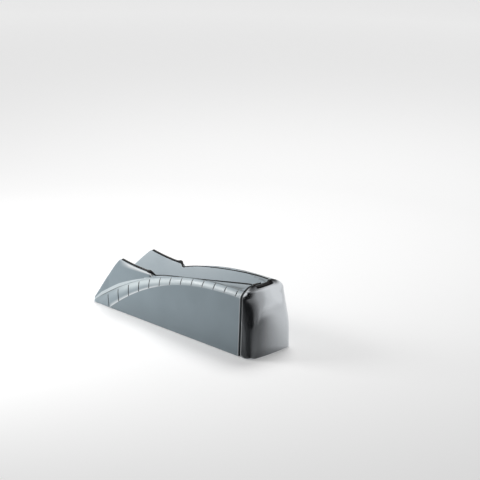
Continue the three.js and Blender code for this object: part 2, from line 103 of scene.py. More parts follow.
PAD = SimpleNamespace(start=35.0, end=11.0, end_radius=1.2, gap=0.3, rib_shift=2.0, rib_inner=0.9,
                      rib_outer=0.1, shoulder_y=1.0, shoulder_z=0.6)
BEAD = SimpleNamespace(start=2.0, end=1.0, nose=3.0, tail=2.4, knob_shift=2.0, knob_run=4.0,
                       knob_width=1.8, knob_height=1.5, lip_height=1.1, wing_height=1.7, gap=0.3,
                       sink=0.12, over=0.55, crown=0.42, crown_power=0.8, dip=25.0, dip_end=(60.0, 110.0),
                       dip_shares=(1.0, 0.65, 0.75, 1.0), least_taper=0.08, end_width=0.45)
FOOT = SimpleNamespace(
    edge=1.2, sole=1.4, ring=0.28, rings=3.5, shoulder=((0.0, 2.3), (0.15, 2.6), (0.5, 2.7)),
    stem=((2.5, 2.7), (2.5, 5.9), (3.3, 5.95), (3.4, 6.2), (2.6, 7.5), (1.6, 8.4), (0.8, 8.5), (0.0, 8.5)))
SCREW = SimpleNamespace(
    base_length=14.0, cap_length=13.0, base_seat=2.7, cap_seat=0.3, head=2.0, dome=1.1, dome_power=2.6,
    recess=1.1, recess_radius=2.1, blade=(0.28, 0.5), blade_end=(1.45, 1.75), neck=1.6, core=1.45,
    thread=0.28, pitch=1.25)

# Corner radii of the body's side line, from the bottom rim up to the wing's face.
FLANK_RADII = (0.6, 0.35, 2.5, 2.5, 0.3, 0.12, 0.3, 0.1, 0.6, 0.0)
# Shares of the side panel's height at which a row of points runs.
PANEL_ROWS = (0.12, 0.25, 0.37, 0.5, 0.62, 0.75, 0.87, 0.955, 0.98, 0.993)
# Points across the channel: shares of its half width, and steps from its corner and from its edge.
FLOOR_SHARES = (0.0, 0.3, 0.6, 0.82)
FILLET_STEPS = (-1.2, -0.6, -0.2, 0.15, 0.5)
RIM_STEPS = (-0.45, -0.2, 0.0, 0.2, 0.5, 0.9)

# Where the body's marks begin and end: the groove line and the ridge, painted shade, and the band's
# edge, a painted highlight, are measured from the toe, the seam's painted lines from the seam, and the
# painted shade low on the side panel from the floor. Skin is how far in from the side the outer skin
# is looked for. The crest is a painted highlight, the lighter line along the band: its share of the
# way up and its strength, by the share of the body's length.
MARKS = SimpleNamespace(
    skin=9.5, groove=0.45, groove_in=(6.0, 20.0), groove_out=(40.0, 64.0), groove_rear=(187.0, 237.0),
    ridge=(207.0, 237.0), ridge_fade=(0.35, 0.65), edge_in=(30.0, 40.0), edge_out=(107.0, 167.0),
    bead_in=20.0, step=2.5, seam=(1.7, 1.2), seam_rim=0.7, painted_low_shade=(2.0, 46.0),
    crest=((0.2, 0.36, 0.5, 0.57, 0.75), (0.88, 0.75, 0.45, 0.36, 0.46)),
    highlight_strength=((0.06, 0.14, 0.22, 0.3, 0.6, 0.72, 0.8, 0.88, 1.0),
                    (0.15, 0.3, 0.85, 1.0, 0.87, 0.72, 0.7, 0.52, 0.3)))

# The same for the cap's marks, by level, by the distance from the seam and by the distance from the
# middle line: the strip on its top and the dark edge round the strip, the tyre's shadow painted on,
# the rim, painted shade in the seam, and the light line, a painted highlight.
CAP_MARKS = SimpleNamespace(
    strip_level=(90.5, 91.5), strip_side=(15.0, 17.0), dark_level=(86.0, 91.0), dark_away=(1.5, 8.0),
    dark_side=(20.0, 32.0), rim=0.6, line_in=(0.5, 0.8), line_out=(1.3, 1.8), line_level=(80.0, 88.0),
    line_side=20.0)


def number(name, description, default, **kind):
    """A number of the panel, with its limits and its unit."""
    return bpy.props.FloatProperty(name=name, description=description, default=default, **kind)


def length(name, description, default):
    """A size in metres, given here in millimetres."""
    return number(name, description, default * MM, min=0.0, unit="LENGTH", precision=5)


def factor(name, description, default):
    """A number from 0 to 1."""
    return number(name, description, default, min=0.0, max=1.0, subtype="FACTOR")


def shade(name, description, default):
    """A colour, given here as it looks on screen."""
    return bpy.props.FloatVectorProperty(
        name=name, description=description, subtype="COLOR", size=3, min=0.0, max=1.0,
        default=tuple(to_linear(value) for value in default))


def to_linear(value):
    """A screen value as linear light, by the standard curve with its straight start."""
    return value / 12.92 if value <= 0.04045 else ((value + 0.055) / 1.055) ** 2.4


class RiserSizes(bpy.types.PropertyGroup):
    """Sizes of the block and of its pieces"""

    block_length: number(
        "Block length", "From the toe to the end of the cap", CAD_LENGTH, min=0.1, unit="LENGTH", precision=5)
    base_width: length("Base width", "Across the two side panels at the floor", 80.8)
    rim_level: length("Rim level", "Gap between the bottom rim and the floor", 0.8)
    wall: length("Wall", "Thickness of the moulded wall", 2.8)
    toe_height: length("Toe height", "Height of the low tip", 4.5)
    horn_setback: length("Horn setback", "From the toe to the top of the front slope", 49)
    horn_height: length("Horn height", "Top of the front slope", 74)
    wing_setback: length("Wing setback", "From the toe to the end of the wings", 110)
    wing_end_height: length("Wing end height", "Height of the wings at their end", 69)
    lower_arch_height: length("Lower arch height", "Lower edge of the band at the seam", 81.5)
    upper_arch_height: length("Upper arch height", "Upper edge of the band at the seam", 89.2)
    channel_setback: length("Channel setback", "From the toe to the lowest place of the channel", 104)
    channel_low_level: length("Channel low level", "Height of that lowest place", 41.5)
    channel_radius: length("Channel radius", "Radius of the channel floor, seen from the side", 365)
    channel_half: length("Channel half width", "Half the width of the channel floor", 13)
    channel_edge_inset: length("Channel edge inset", "From the side to the channel edge at the wings", 13.65)
    dish_level: length("Dish level", "Floor of the shallow dish in the cap", 92.6)
    lip_mid_height: length("Lip height", "Height of the channel lip halfway", 76)
    lip_end_height: length("Lip end height", "Height of the channel lip at the seam", 95)
    cap_length: length("Cap length", "Length of the end cap", 21.2)
    seam_gap: length("Seam gap", "Gap between the body and the cap", 2.6)
    edge_radius: length("Edge radius", "Rounding of the edges at the seam", 0.8)
    groove_depth: length("Groove depth", "Depth of the line above the band", 0.9)
    tick_setback: length("Tick setback", "From the toe to the first tick on the band", 31)
    tick_pitch: length("Tick pitch", "From one tick to the next", 20.8)
    tick_width: length("Tick width", "Width of a tick", 1.7)
    tick_depth: length("Tick depth", "Depth of a tick", 0.8)
    pad_thickness: length("Pad thickness", "Thickness of the channel pad", 2.4)
    pad_rib_height: length("Pad rib height", "Height of a cross rib on the pad", 0.8)
    pad_rib_pitch: length("Pad rib pitch", "From one cross rib to the next", 9)
    pad_rib_width: length("Pad rib width", "Width of a cross rib", 4)
    bead_wing_width: length("Bead width on the wings", "Width of the edge bead on the wings", 3.4)
    bead_lip_width: length("Bead width on the lips", "Width of the edge bead on the lips", 1.8)
    foot_radius: length("Foot radius", "Radius of a rubber foot", 9)
    screw_head_radius: length("Screw head radius", "Radius of a screw head", 3.5)


class RiserFinish(bpy.types.PropertyGroup):
    """Colours and surface of the block's pieces"""

    body: shade("Body", "Moulded body", (0.59, 0.645, 0.675))
    # The band colour is the tone of a highlight line painted along the band.
    band: shade("Band", "Raised band round the side panel", (0.835, 0.875, 0.885))
    ledge: shade("Ledge", "Light ledge between the band and the wings", (0.82, 0.86, 0.875))
    cap: shade("Cap", "Glossy end cap", (0.80, 0.815, 0.83))
    rubber: shade("Rubber", "Pad, seal and edge beads", (0.085, 0.09, 0.095))
    plate: shade("Plate", "Base plate", (0.23, 0.25, 0.27))
    foot: shade("Foot", "Rubber feet", (0.14, 0.14, 0.145))
    steel: shade("Steel", "Zinc-plated screws", (0.72, 0.73, 0.74))
    grain_size: length("Grain size", "Size of the moulded grain", 0.5)
    grain_depth: factor("Grain depth", "Strength of the moulded grain", 0.06)
    wear: factor("Wear", "How much the surfaces are scuffed", 0.3)
    dust: factor("Dust", "How much dust lies on what faces up", 0.12)


class RiserStage(bpy.types.PropertyGroup):
    """Floor, lamps and camera"""

    floor: shade("Floor", "Pale studio floor", (0.88, 0.88, 0.88))
    camera_distance: number(
        "Camera distance", "From the lowest place of the channel to the camera", 2.5, min=0.5, unit="LENGTH")
    camera_turn: number(
        "Camera turn", "Turn of the camera round the block", math.radians(46.7), subtype="ANGLE")
    camera_rise: number(
        "Camera rise", "Angle of the camera above the horizon", math.radians(20.7), subtype="ANGLE")
    key_power: number("Key power", "Power of the large soft lamp", 16.0, min=0.0, unit="POWER")
    fill_power: number("Fill power", "Power of the soft lamp before the toe", 3.1, min=0.0, unit="POWER")
    sky: factor("Sky", "Strength of the even light all round", 0.17)


# Numbers and curves

def mix(low, high, share):
    """The value that lies a share of the way from low to high."""
    return low + (high - low) * share


def between(x, start, end):
    """The share of the way from start to end, kept from 0 to 1."""
    return np.clip((x - start) / (end - start), 0.0, 1.0)


def ease(share):
    """A share with a soft start and end: 3 t^2 - 2 t^3."""
    return share * share * (3.0 - 2.0 * share)


def swell(x, start, end):
    """A smooth climb from 0 at the start to 1 at the end."""
    return ease(between(x, start, end))


def bell(x, middle, spread):
    """A bell curve: e to the power of minus the squared share of the spread."""
    return np.exp(-((x - middle) / spread) ** 2)


def soft_min(a, b, reach):
    """The lesser of two heights, with a rounded meeting: half of a + b - root((a - b)^2 + reach^2)."""
    return (a + b - np.hypot(a - b, reach)) / 2.0


def soft_max(a, b, reach):
    """The greater of two heights, with a rounded meeting."""
    return (a + b + np.hypot(a - b, reach)) / 2.0


def quarter(run, radius):
    """How far an edge of that radius has stepped in, a run before its end: r - root(r^2 - (r - run)^2)."""
    short = np.clip(radius - run, 0.0, radius)
    return radius - np.sqrt(radius ** 2 - short ** 2)


def leaving(place, radius, count):
    """Places that leave a point as a rounded edge does: place + r (1 - cos a) up to a right angle."""
    return place + radius * (1.0 - np.cos(np.linspace(0.0, RIGHT_ANGLE, count)))


def reaching(place, radius, count):
    """Places that reach a point in the same way: place - r (1 - sin a) up to a right angle."""
    return place - radius * (1.0 - np.sin(np.linspace(0.0, RIGHT_ANGLE, count)))


def at(*coordinates):
    """Points from their coordinates, given as numbers or arrays that broadcast together."""
    return np.stack(np.broadcast_arrays(*coordinates), axis=-1)


def joined(*parts):
    """Lines joined end to end, station by station."""
    return np.concatenate(parts, axis=1)


def unit(vectors):
    """Vectors divided by their own lengths."""
    return vectors / np.linalg.norm(vectors, axis=-1, keepdims=True)


def sizes():
    """The panel's sizes in millimetres, with the places that follow from them."""
    group = bpy.context.scene.riser_sizes
    s = SimpleNamespace(**{name: getattr(group, name) / MM for name in RiserSizes.__annotations__})
    s.base_half = s.base_width / 2.0
    s.toe_x = -s.block_length / 2.0
    s.end_x = s.block_length / 2.0
    s.cap_face_x = s.end_x - s.cap_length
    s.body_end_x = s.cap_face_x - s.seam_gap
    s.bulkhead_x = s.body_end_x - BODY.bulkhead
    s.hollow_x = s.toe_x + 2.0 * s.wall
    s.horn_x = s.toe_x + s.horn_setback
    s.wing_end_x = s.toe_x + s.wing_setback
    s.wing_tail_x = s.wing_end_x + BODY.wing_tail
    s.channel_low_x = s.toe_x + s.channel_setback
    s.lip_mid_x = s.toe_x + BODY.lip_mid_setback
    wing_wall = s.base_half - s.channel_edge_inset - s.channel_half
    s.flare = wing_wall / (s.wing_end_height - s.channel_low_level)
    return s


def arch(s, x, foot_x, height, power):
    """Height of an arch: full at the seam, and less by a power of the share of the way back to its foot."""
    run = np.maximum(0.0, (s.body_end_x - x) / (s.body_end_x - foot_x))
    return height * (1.0 - run ** power)


def lower_arch(s, x):
    """Height of the band's lower edge."""
    return arch(s, x, s.toe_x + BODY.lower_foot, s.lower_arch_height, BODY.lower_power)


def upper_arch(s, x):
    """Height of the band's upper edge."""
    return arch(s, x, s.toe_x + BODY.upper_foot, s.upper_arch_height, BODY.upper_power)


def lip_level(s, x):
    """Height of the channel lip: its own gentle curve, softly kept below a ridge just over the band."""
    run = np.maximum(0.0, (s.body_end_x - x) / (s.body_end_x - s.lip_mid_x))
    own = mix(s.lip_end_height, s.lip_mid_height, run ** BODY.lip_power)
    climb = swell(x, s.lip_mid_x, s.body_end_x)
    ridge = upper_arch(s, x) + BODY.ridge + (s.lip_end_height - s.upper_arch_height) * climb
    return soft_min(own, ridge, BODY.ridge_soft)


def top_level(s, x):
    """Height of the block's top edge: a front slope that bulges by b (1 - b), then wings, then lips."""
    share = (x - s.toe_x) / s.horn_setback
    bulge = np.clip(share, 0.0, 1.0)
    front = mix(s.toe_height, s.horn_height, share) + BODY.slope_bulge * bulge * (1.0 - bulge)
    back = (s.wing_end_x - x) / (s.wing_end_x - s.horn_x)
    wing = mix(s.wing_end_height, s.horn_height, back ** 2)
    tail = mix(s.wing_end_height, lip_level(s, x), swell(x, s.wing_end_x, s.wing_tail_x))
    behind = np.where(x < s.wing_end_x, wing, tail)
    return soft_min(front, behind, BODY.top_soft) - quarter(x - s.toe_x, BODY.toe_tip)


def channel_floor(s, x):
    """Height of the channel floor: an arc round the wheel's hub line, up to the shallow dish."""
    run = np.minimum(np.abs(x - s.channel_low_x), s.channel_radius)
    arc = s.channel_low_level + s.channel_radius - np.sqrt(s.channel_radius ** 2 - run ** 2)
    return np.minimum(arc, s.dish_level)


def channel_surface(s, x, y):
    """Height of the channel at a point: its floor, and beyond half its width a wall that leans outward."""
    wall = (np.abs(y) - s.channel_half) / s.flare
    return channel_floor(s, x) + soft_max(wall, 0.0, CHANNEL.soft)


def channel_edge(s, x):
    """Half the channel's width at the top edge, where its leaning wall comes out."""
    return s.channel_half + s.flare * (top_level(s, x) - channel_floor(s, x))


def side_half(s, level):
    """Half the width of the body at a level: the side panels lean in by their draft."""
    return s.base_half - BODY.draft * level


def band_sides(s, x, low, high):
    """Half widths at the band's lower and upper edges, the upper one set in more towards the seam."""
    inset = mix(BAND.inset_toe, BAND.inset_seam, between(x, s.toe_x, s.body_end_x))
    return side_half(s, low), side_half(s, high) - between(high, 0.0, BAND.full_level) * inset


# Grids and meshes

def grid_faces(rows, columns, closed):
    """Four-sided faces of a grid of rows by columns. A closed grid joins its last column to its first."""
    across = columns if closed else columns - 1
    row, column = np.meshgrid(np.arange(rows - 1), np.arange(across), indexing="ij")
    here, after = row * columns + column, row * columns + (column + 1) % columns
    return at(here, after, after + columns, here + columns).reshape(-1, 4)


def end_lids(rows, columns, start=0):
    """The first and last ring of a grid, as the point numbers of two flat faces."""
    last = start + (rows - 1) * columns
    return [range(start, start + columns), range(last, last + columns)]


def spun_grid(profile, steps):
    """A profile of (radius, height) turned once round +Z: x = r cos a, y = r sin a."""
    angle = np.arange(steps) * (2.0 * math.pi / steps)
    radius, height = profile[:, 0, None], profile[:, 1, None]
    return at(radius * np.cos(angle), radius * np.sin(angle), height)


def new_object(name, points, faces):
    """An object at the origin, from points in metres."""
    mesh = bpy.data.meshes.new(name)
    mesh.from_pydata(points, [], faces)
    made = bpy.data.objects.new(name, mesh)
    bpy.context.scene.collection.objects.link(made)
    return made


def new_piece(name, grids, lids=(), sharp=32.0, merge=1e-3):
    """A mesh object from grids of points in millimetres, each (points, closed).

    Lids are rings of point numbers, each filled by one face. Points that meet are merged,
    faces are turned outward, and edges sharper than the angle in degrees stay sharp."""
    points, faces, start = [], [], 0
    for grid, closed in grids:
        rows, columns = grid.shape[:2]
        points.append(grid.reshape(-1, 3))
        faces.extend((grid_faces(rows, columns, closed) + start).tolist())
        start += rows * columns
    faces.extend(list(lid) for lid in lids)
    piece = new_object(name, (np.concatenate(points) * MM).tolist(), faces)
    tidy_mesh(piece.data, merge * MM)
    smooth_mesh(piece.data, sharp)
    return piece


def tube(name, grid):
    """A piece from closed rings carried along a path, with a flat face at each end."""
    return new_piece(name, [(grid, True)], end_lids(*grid.shape[:2]))


def tidy_mesh(mesh, merge):
    """Merges points that meet, drops what has no area and turns the faces outward."""
    work = bmesh.new()
    work.from_mesh(mesh)
    bmesh.ops.remove_doubles(work, verts=work.verts, dist=merge)
    bmesh.ops.dissolve_degenerate(work, edges=work.edges, dist=merge / 2.0)
    bmesh.ops.recalc_face_normals(work, faces=work.faces)
    work.to_mesh(mesh)
    work.free()
    mesh.validate()


def smooth_mesh(mesh, sharp):
    """Shades the faces smooth, up to edges sharper than the angle in degrees."""
    mesh.polygons.foreach_set("use_smooth", np.ones(len(mesh.polygons), bool))
    mesh.set_sharp_from_angle(angle=math.radians(sharp))
    mesh.update()


def set_mask(piece, name, values, domain="POINT"):
    """Writes one number per point or face as an attribute that the piece's material reads."""
    layer = piece.data.attributes.new(name, "FLOAT", domain)
    layer.data.foreach_set("value", np.asarray(values, np.float32))


def columns_of(items, field):
    """A field of a mesh's points or faces in millimetres, as three columns."""
    flat = np.empty(len(items) * 3, np.float32)
    items.foreach_get(field, flat)
    return (flat.reshape(-1, 3) / MM).T


def settle(piece, slot, *nodes):
    """Gives a finished piece the material of its slot and its body, and hides the nodes that it stands for.
    """
    piece.data.materials.clear()
    piece.data.materials.append(finish_named(slot))
    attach(piece, "root")
    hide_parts(*nodes)


def rounded(line, radii, steps=3, most=0.45):
    """Rounds the inner corners of many lines at once: line is (stations, corners, 2).

    Each corner becomes a curve with the corner as its middle handle,
    (1-t)^2 a + 2t(1-t) corner + t^2 b, where a and b lie that radius before and after it,
    or at most that share of the shorter side."""
    before, corner, after = line[:, :-2], line[:, 1:-1], line[:, 2:]
    back, ahead = before - corner, after - corner
    back_run = np.maximum(np.linalg.norm(back, axis=-1, keepdims=True), 1e-9)
    ahead_run = np.maximum(np.linalg.norm(ahead, axis=-1, keepdims=True), 1e-9)
    reach = np.minimum(np.asarray(radii)[None, :, None], most * np.minimum(back_run, ahead_run))
    a, b = corner + back / back_run * reach, corner + ahead / ahead_run * reach
    curve = handled(a[:, :, None], corner[:, :, None], b[:, :, None], steps)
    flat = curve.reshape(line.shape[0], -1, 2)
    return joined(line[:, :1], flat, line[:, -1:])


def handled(start, handle, end, steps):
    """A curve with one handle, (1-t)^2 start + 2t(1-t) handle + t^2 end, along the last axis but one."""
    t = np.linspace(0.0, 1.0, steps + 1)[:, None]
    return (1.0 - t) ** 2 * start + 2.0 * t * (1.0 - t) * handle + t ** 2 * end


def between_points(a, b, shares):
    """Points on straight lines from a to b, (stations, shares, 2)."""
    share = np.asarray(shares)[None, :, None]
    return a[:, None] * (1.0 - share) + b[:, None] * share


# Body

def wing_share(s, x):
    """1 along the wings, and 0 behind them."""
    return 1.0 - swell(x, s.wing_end_x, s.wing_tail_x)


def ledge_rise(s, x):
    """How far the ledge over the band climbs: a low step behind the wings, a broad slope below them."""
    room = top_level(s, x) - upper_arch(s, x)
    broad = np.minimum(LEDGE.slope * between(x, s.wing_tail_x, s.horn_x), room / 3.0)
    return mix(LEDGE.step, broad, wing_share(s, x)), room


def ledge_level(s, x):
    """Height of that ledge, at least a tenth of the way from the band to the top edge."""
    rise, room = ledge_rise(s, x)
    return upper_arch(s, x) + np.maximum(rise, room / 10.0)


def flank(s, x):
    """Side of the body across its length, from the bottom rim up to the lip, for y > 0.

    Returns (stations, points, 2) as y and z: side panel, lower arch edge, bulging band, the line
    above it, the wing's face or the ridge, and a shoulder curve up to the lip."""
    wing = wing_share(s, x)
    top, low, high = top_level(s, x), lower_arch(s, x), upper_arch(s, x)
    rise, _ = ledge_rise(s, x)
    grown = between(high, 0.0, BAND.full_level)
    low_y, high_y = band_sides(s, x, low, high)
    ledge_y = high_y - grown * mix(LEDGE.lip_inset, LEDGE.wing_inset, wing)
    ledge_z = ledge_level(s, x)
    corner = mix(BODY.shoulder_toe, BODY.shoulder_horn, between(x, s.toe_x, s.horn_x))
    corner = np.minimum(corner, top / 2.0)
    face_y = ledge_y - BODY.wing_lean * np.clip((top - ledge_z) / (s.horn_height - ledge_z), 0.0, 1.0)
    corner_z = np.maximum(top - corner, mix(ledge_z, top, 1.0 / 3.0))
    lip_y = mix(channel_edge(s, x) + BODY.lip_land, face_y - corner, wing)
    out_y = mix(mix(ledge_y, lip_y, 1.0 / 8.0), face_y, wing)
    out_z = mix(mix(ledge_z, top, 1.0 / 8.0), corner_z, wing)
    turn_y = mix(lip_y, out_y, mix(BODY.lip_turn, 1.0, wing))
    depth = s.groove_depth * grown * np.minimum(1.0, np.maximum(rise, 0.0) / LEDGE.step)
    gap = np.minimum(GROOVE.gap, ledge_z - high)
    gap_share = gap / np.maximum(ledge_z - high, 1e-6)
    out_share = np.minimum(GROOVE.out * gap_share, 0.8)
    past_share = np.minimum(GROOVE.past * gap_share, 0.9)
    rim_y, rim_z = side_half(s, s.rim_level), np.full_like(x, s.rim_level)
    line = np.stack([
        at(rim_y, rim_z - 0.01),
        at(low_y, low),
        at(mix(low_y, high_y, 1 / 3) + BAND.bulge, mix(low, high, 1 / 3) + BAND.lift),
        at(mix(low_y, high_y, 2 / 3) + BAND.bulge, mix(low, high, 2 / 3) + BAND.lift),
        at(high_y, high),
        at(high_y - depth, high + GROOVE.bottom * gap),
        at(mix(high_y, ledge_y, out_share), high + GROOVE.out * gap),
        at(mix(high_y, ledge_y, past_share), mix(high, ledge_z, past_share)),
        at(ledge_y, ledge_z),
        at(out_y, out_z)], axis=1)
    inner_rim, turn = at(rim_y - s.wall, rim_z)[:, None], at(turn_y, top)[:, None]
    line = joined(inner_rim, clip_low(line, s.rim_level), turn)
    soft = rounded(line, FLANK_RADII)[:, :-5]
    panel = between_points(soft[:, 4], soft[:, 5], PANEL_ROWS)
    start, end = at(out_y, out_z)[:, None], at(lip_y, top)[:, None]
    face = between_points(soft[:, -1], start[:, 0], (0.25, 0.5, 0.75))
    line = joined(soft[:, :5], panel, soft[:, 5:], face, handled(start, turn, end, 10))
    line[:, :, 0] -= quarter(x - s.toe_x, BODY.toe_corner)[:, None]
    return line


def clip_low(line, level):
    """Points of a climbing line that lie below a level are moved along it to that level."""
    y, z = line[..., 0].copy(), line[..., 1].copy()
    cross = y[:, 0].copy()
    for k in range(line.shape[1] - 1):
        here = (z[:, k] < level) & (z[:, k + 1] >= level)
        share = (level - z[:, k]) / np.where(here, z[:, k + 1] - z[:, k], 1.0)
        cross = np.where(here, mix(y[:, k], y[:, k + 1], share), cross)
    below = z < level
    return at(np.where(below, cross[:, None], y), np.where(below, level, z))


def channel_line(s, x, lip_y):
    """Top of the body from the middle of the channel out to the lip, for y > 0.

    z is the softened lesser of the top edge's height and the channel's surface."""
    half, top = s.channel_half, top_level(s, x)
    edge = np.maximum(channel_edge(s, x), half + CHANNEL.least_wall)
    edge = np.minimum(edge, lip_y - CHANNEL.least_land)[:, None]
    floor = np.broadcast_to(np.array(FLOOR_SHARES) * half, (len(x), len(FLOOR_SHARES)))
    fillet = np.broadcast_to(half + np.array(FILLET_STEPS), (len(x), len(FILLET_STEPS)))
    wall = mix(half + 0.9, edge - 0.75, np.linspace(0.0, 1.0, 7)[None])
    rim = edge + np.array(RIM_STEPS)[None]
    land = mix(edge + 1.2, lip_y[:, None] - 0.05, np.linspace(0.0, 1.0, 3)[None])
    y = joined(floor, fillet, wall, rim, land)
    z = soft_min(top[:, None], channel_surface(s, x[:, None], y), CHANNEL.edge_soft)
    return at(y, z)


def inner_line(s, x):
    """Inside of the body's wall, from the rim up the side and over to the middle, for y > 0.

    The hollow climbs between the side and the channel's wall for as long as there is room, and
    outside its own stretch of the length it shrinks to a line across the bottom."""
    across = s.wall * math.hypot(1.0, s.flare)
    outside = flank(s, x)
    floor = channel_floor(s, x)
    roof_x = np.where(x < s.horn_x, x - s.wall * 1.2, x)
    roof = np.maximum(top_level(s, roof_x) - s.wall, s.wall)
    middle = np.minimum(floor - s.wall, roof)

    def side_at(level):
        """Half width of the hollow at levels, one wall in from the outside."""
        rows = [np.interp(level[i], outside[i, :, 1], outside[i, :, 0]) for i in range(len(x))]
        return np.maximum(np.array(rows) - s.wall, s.wall)

    levels = roof[:, None] - np.arange(60)[None]
    wall_y = s.channel_half + s.flare * np.maximum(levels - floor[:, None], 0.0) + across
    fits = (side_at(levels) - wall_y >= BODY.hollow_room) | (levels <= middle[:, None])
    level = levels[np.arange(len(x)), fits.argmax(axis=1)]
    side_z = mix(s.rim_level, level[:, None], np.linspace(0.0, 1.0, 6)[None])
    side_y = side_at(side_z)
    inner_y = s.channel_half + s.flare * np.maximum(level - floor, 0.0) + across
    inner_y = np.minimum(inner_y, side_y[:, -1] - BODY.hollow_gap)
    base_y = np.minimum(s.channel_half + across, inner_y - BODY.hollow_gap)
    y = joined(side_y, at(inner_y, base_y, 0.0))
    z = joined(side_z, at(level, middle, middle))
    closed = ((x < s.hollow_x) | (x > s.bulkhead_x))[:, None]
    flat_y = outside[:, :1, 0] * np.linspace(1.0, 0.0, y.shape[1])[None]
    return at(np.where(closed, flat_y, y), np.where(closed, s.rim_level, z))


def body_stations(s):
    """Places along the block: close together where the outline turns, and in pairs at the hollow's ends."""
    runs = (
        (s.toe_x + 6.0, s.toe_x + 24.0, 1.2), (s.toe_x + 24.0, s.horn_x + 4.0, 0.6),
        (s.horn_x + 4.5, s.wing_end_x - 1.0, 1.4), (s.wing_end_x - 1.0, s.wing_tail_x + 1.0, 0.5),
        (s.wing_tail_x + 2.0, s.body_end_x - 2.0, 1.8))
    pairs = np.array([[s.hollow_x], [s.bulkhead_x]]) + np.array([-1.0, 1.0]) * BODY.hollow_end
    return np.unique(np.round(np.concatenate([
        *(np.arange(*run) for run in runs), leaving(s.toe_x, BODY.toe_corner, 13), pairs.reshape(-1),
        s.body_end_x - np.array(MARKS.seam), reaching(s.body_end_x, s.edge_radius, 6)]), 4))


def half_ring(s, x):
    """Half of the body's ring from the middle of the channel out, down the flank and in below."""
    side = flank(s, x)[:, ::-1]
    return joined(channel_line(s, x, side[:, 0, 0]), side)


def inset_line(line, amount):
    """Moves a line inward by an amount for each station, along its own normals in y and z."""
    ahead = np.gradient(line, axis=1)
    normal = at(ahead[..., 1], -ahead[..., 0])
    run = np.linalg.norm(normal, axis=-1, keepdims=True)
    normal = np.where(run > 1e-9, normal / np.maximum(run, 1e-9), 0.0)
    return line + normal * np.asarray(amount)[:, None, None]


def whole_ring(half):
    """A half ring for y > 0, from the top middle to the bottom middle, joined to its mirror image."""
    return joined(half, half[:, -2:0:-1] * np.array([-1.0, 1.0]))


def along_x(x, ring):
    """Points (stations, ring, 3) from places along X and rings of y and z."""
    return at(x[:, None], ring[..., 0], ring[..., 1])


def make_body():
    """Skin of the moulded body: closed rings along X, a flat face at each end, and the ticks cut out."""
    s = sizes()
    x = body_stations(s)
    outside = inset_line(half_ring(s, x), quarter(s.body_end_x - x, s.edge_radius))
    ring = whole_ring(joined(outside, inner_line(s, x)))
    body = tube("body_skin", along_x(x, ring))
    cut_ticks(s, body)
    mask_body(s, body)
    return body


def tick_places(s):
    """Places of the ticks along the block, at an even pitch up to the seam."""
    return np.arange(s.tick_setback + s.toe_x, s.body_end_x - TICK.seam_gap, s.tick_pitch)


def cut_ticks(s, body):
    """Cuts the cross ticks out of the band: flat-sided slots with round ends, leaning with the arch.

    A slot's outline is a circle of half its width, a r cos + b (r sin + its straight half), where b
    points up the band and a across it. It is carried from the slot's depth to well outside."""
    x = tick_places(s)
    low, high = np.maximum(lower_arch(s, x), s.rim_level), upper_arch(s, x)
    low_y, high_y = band_sides(s, x, low, high)
    slope = (lower_arch(s, x + 1.0) - lower_arch(s, x - 1.0)) / 2.0
    run = np.linalg.norm(at(high_y - low_y, high - low), axis=-1)
    along = unit(at(-np.sin(np.arctan(slope) * TICK.lean) * run, high_y - low_y, high - low))
    outward = unit(at(0.0, high - low, low_y - high_y))
    across = unit(np.cross(along, outward))
    outward = np.cross(across, along)[:, None]
    middle = at(x, (low_y + high_y) / 2.0 + BAND.bulge, (low + high) / 2.0 + BAND.lift)
    angle = (np.arange(TICK.corners) + 0.5) * (2.0 * math.pi / TICK.corners)
    radius = s.tick_width / 2.0
    u = radius * np.cos(angle)[None, :, None]
    v = radius * np.sin(angle) + np.sign(np.sin(angle)) * (run / 2.0 - radius)[:, None]
    flat = middle[:, None] + across[:, None] * u + along[:, None] * v[..., None]
    slot = np.stack([flat - outward * s.tick_depth, flat + outward * TICK.out], axis=1)
    slots = np.concatenate([slot * (1.0, -1.0, 1.0), slot])
    lids = [lid for i in range(len(slots)) for lid in end_lids(2, TICK.corners, 2 * TICK.corners * i)]
    cutter = new_piece("tick_cutter", [(grid, True) for grid in slots], lids)
    cut = body.modifiers.new("ticks", "BOOLEAN")
    cut.object = cutter
    cut.operation = "DIFFERENCE"
    cut.solver = "EXACT"
    apply_modifiers(body)
    bpy.data.objects.remove(cutter)
    smooth_mesh(body.data, 32.0)


def apply_modifiers(piece):
    """Bakes the piece's modifiers into its own mesh."""
    shaped = piece.evaluated_get(bpy.context.evaluated_depsgraph_get())
    mesh = bpy.data.meshes.new_from_object(shaped)
    piece.modifiers.clear()
    old = piece.data
    piece.data = mesh
    bpy.data.meshes.remove(old)


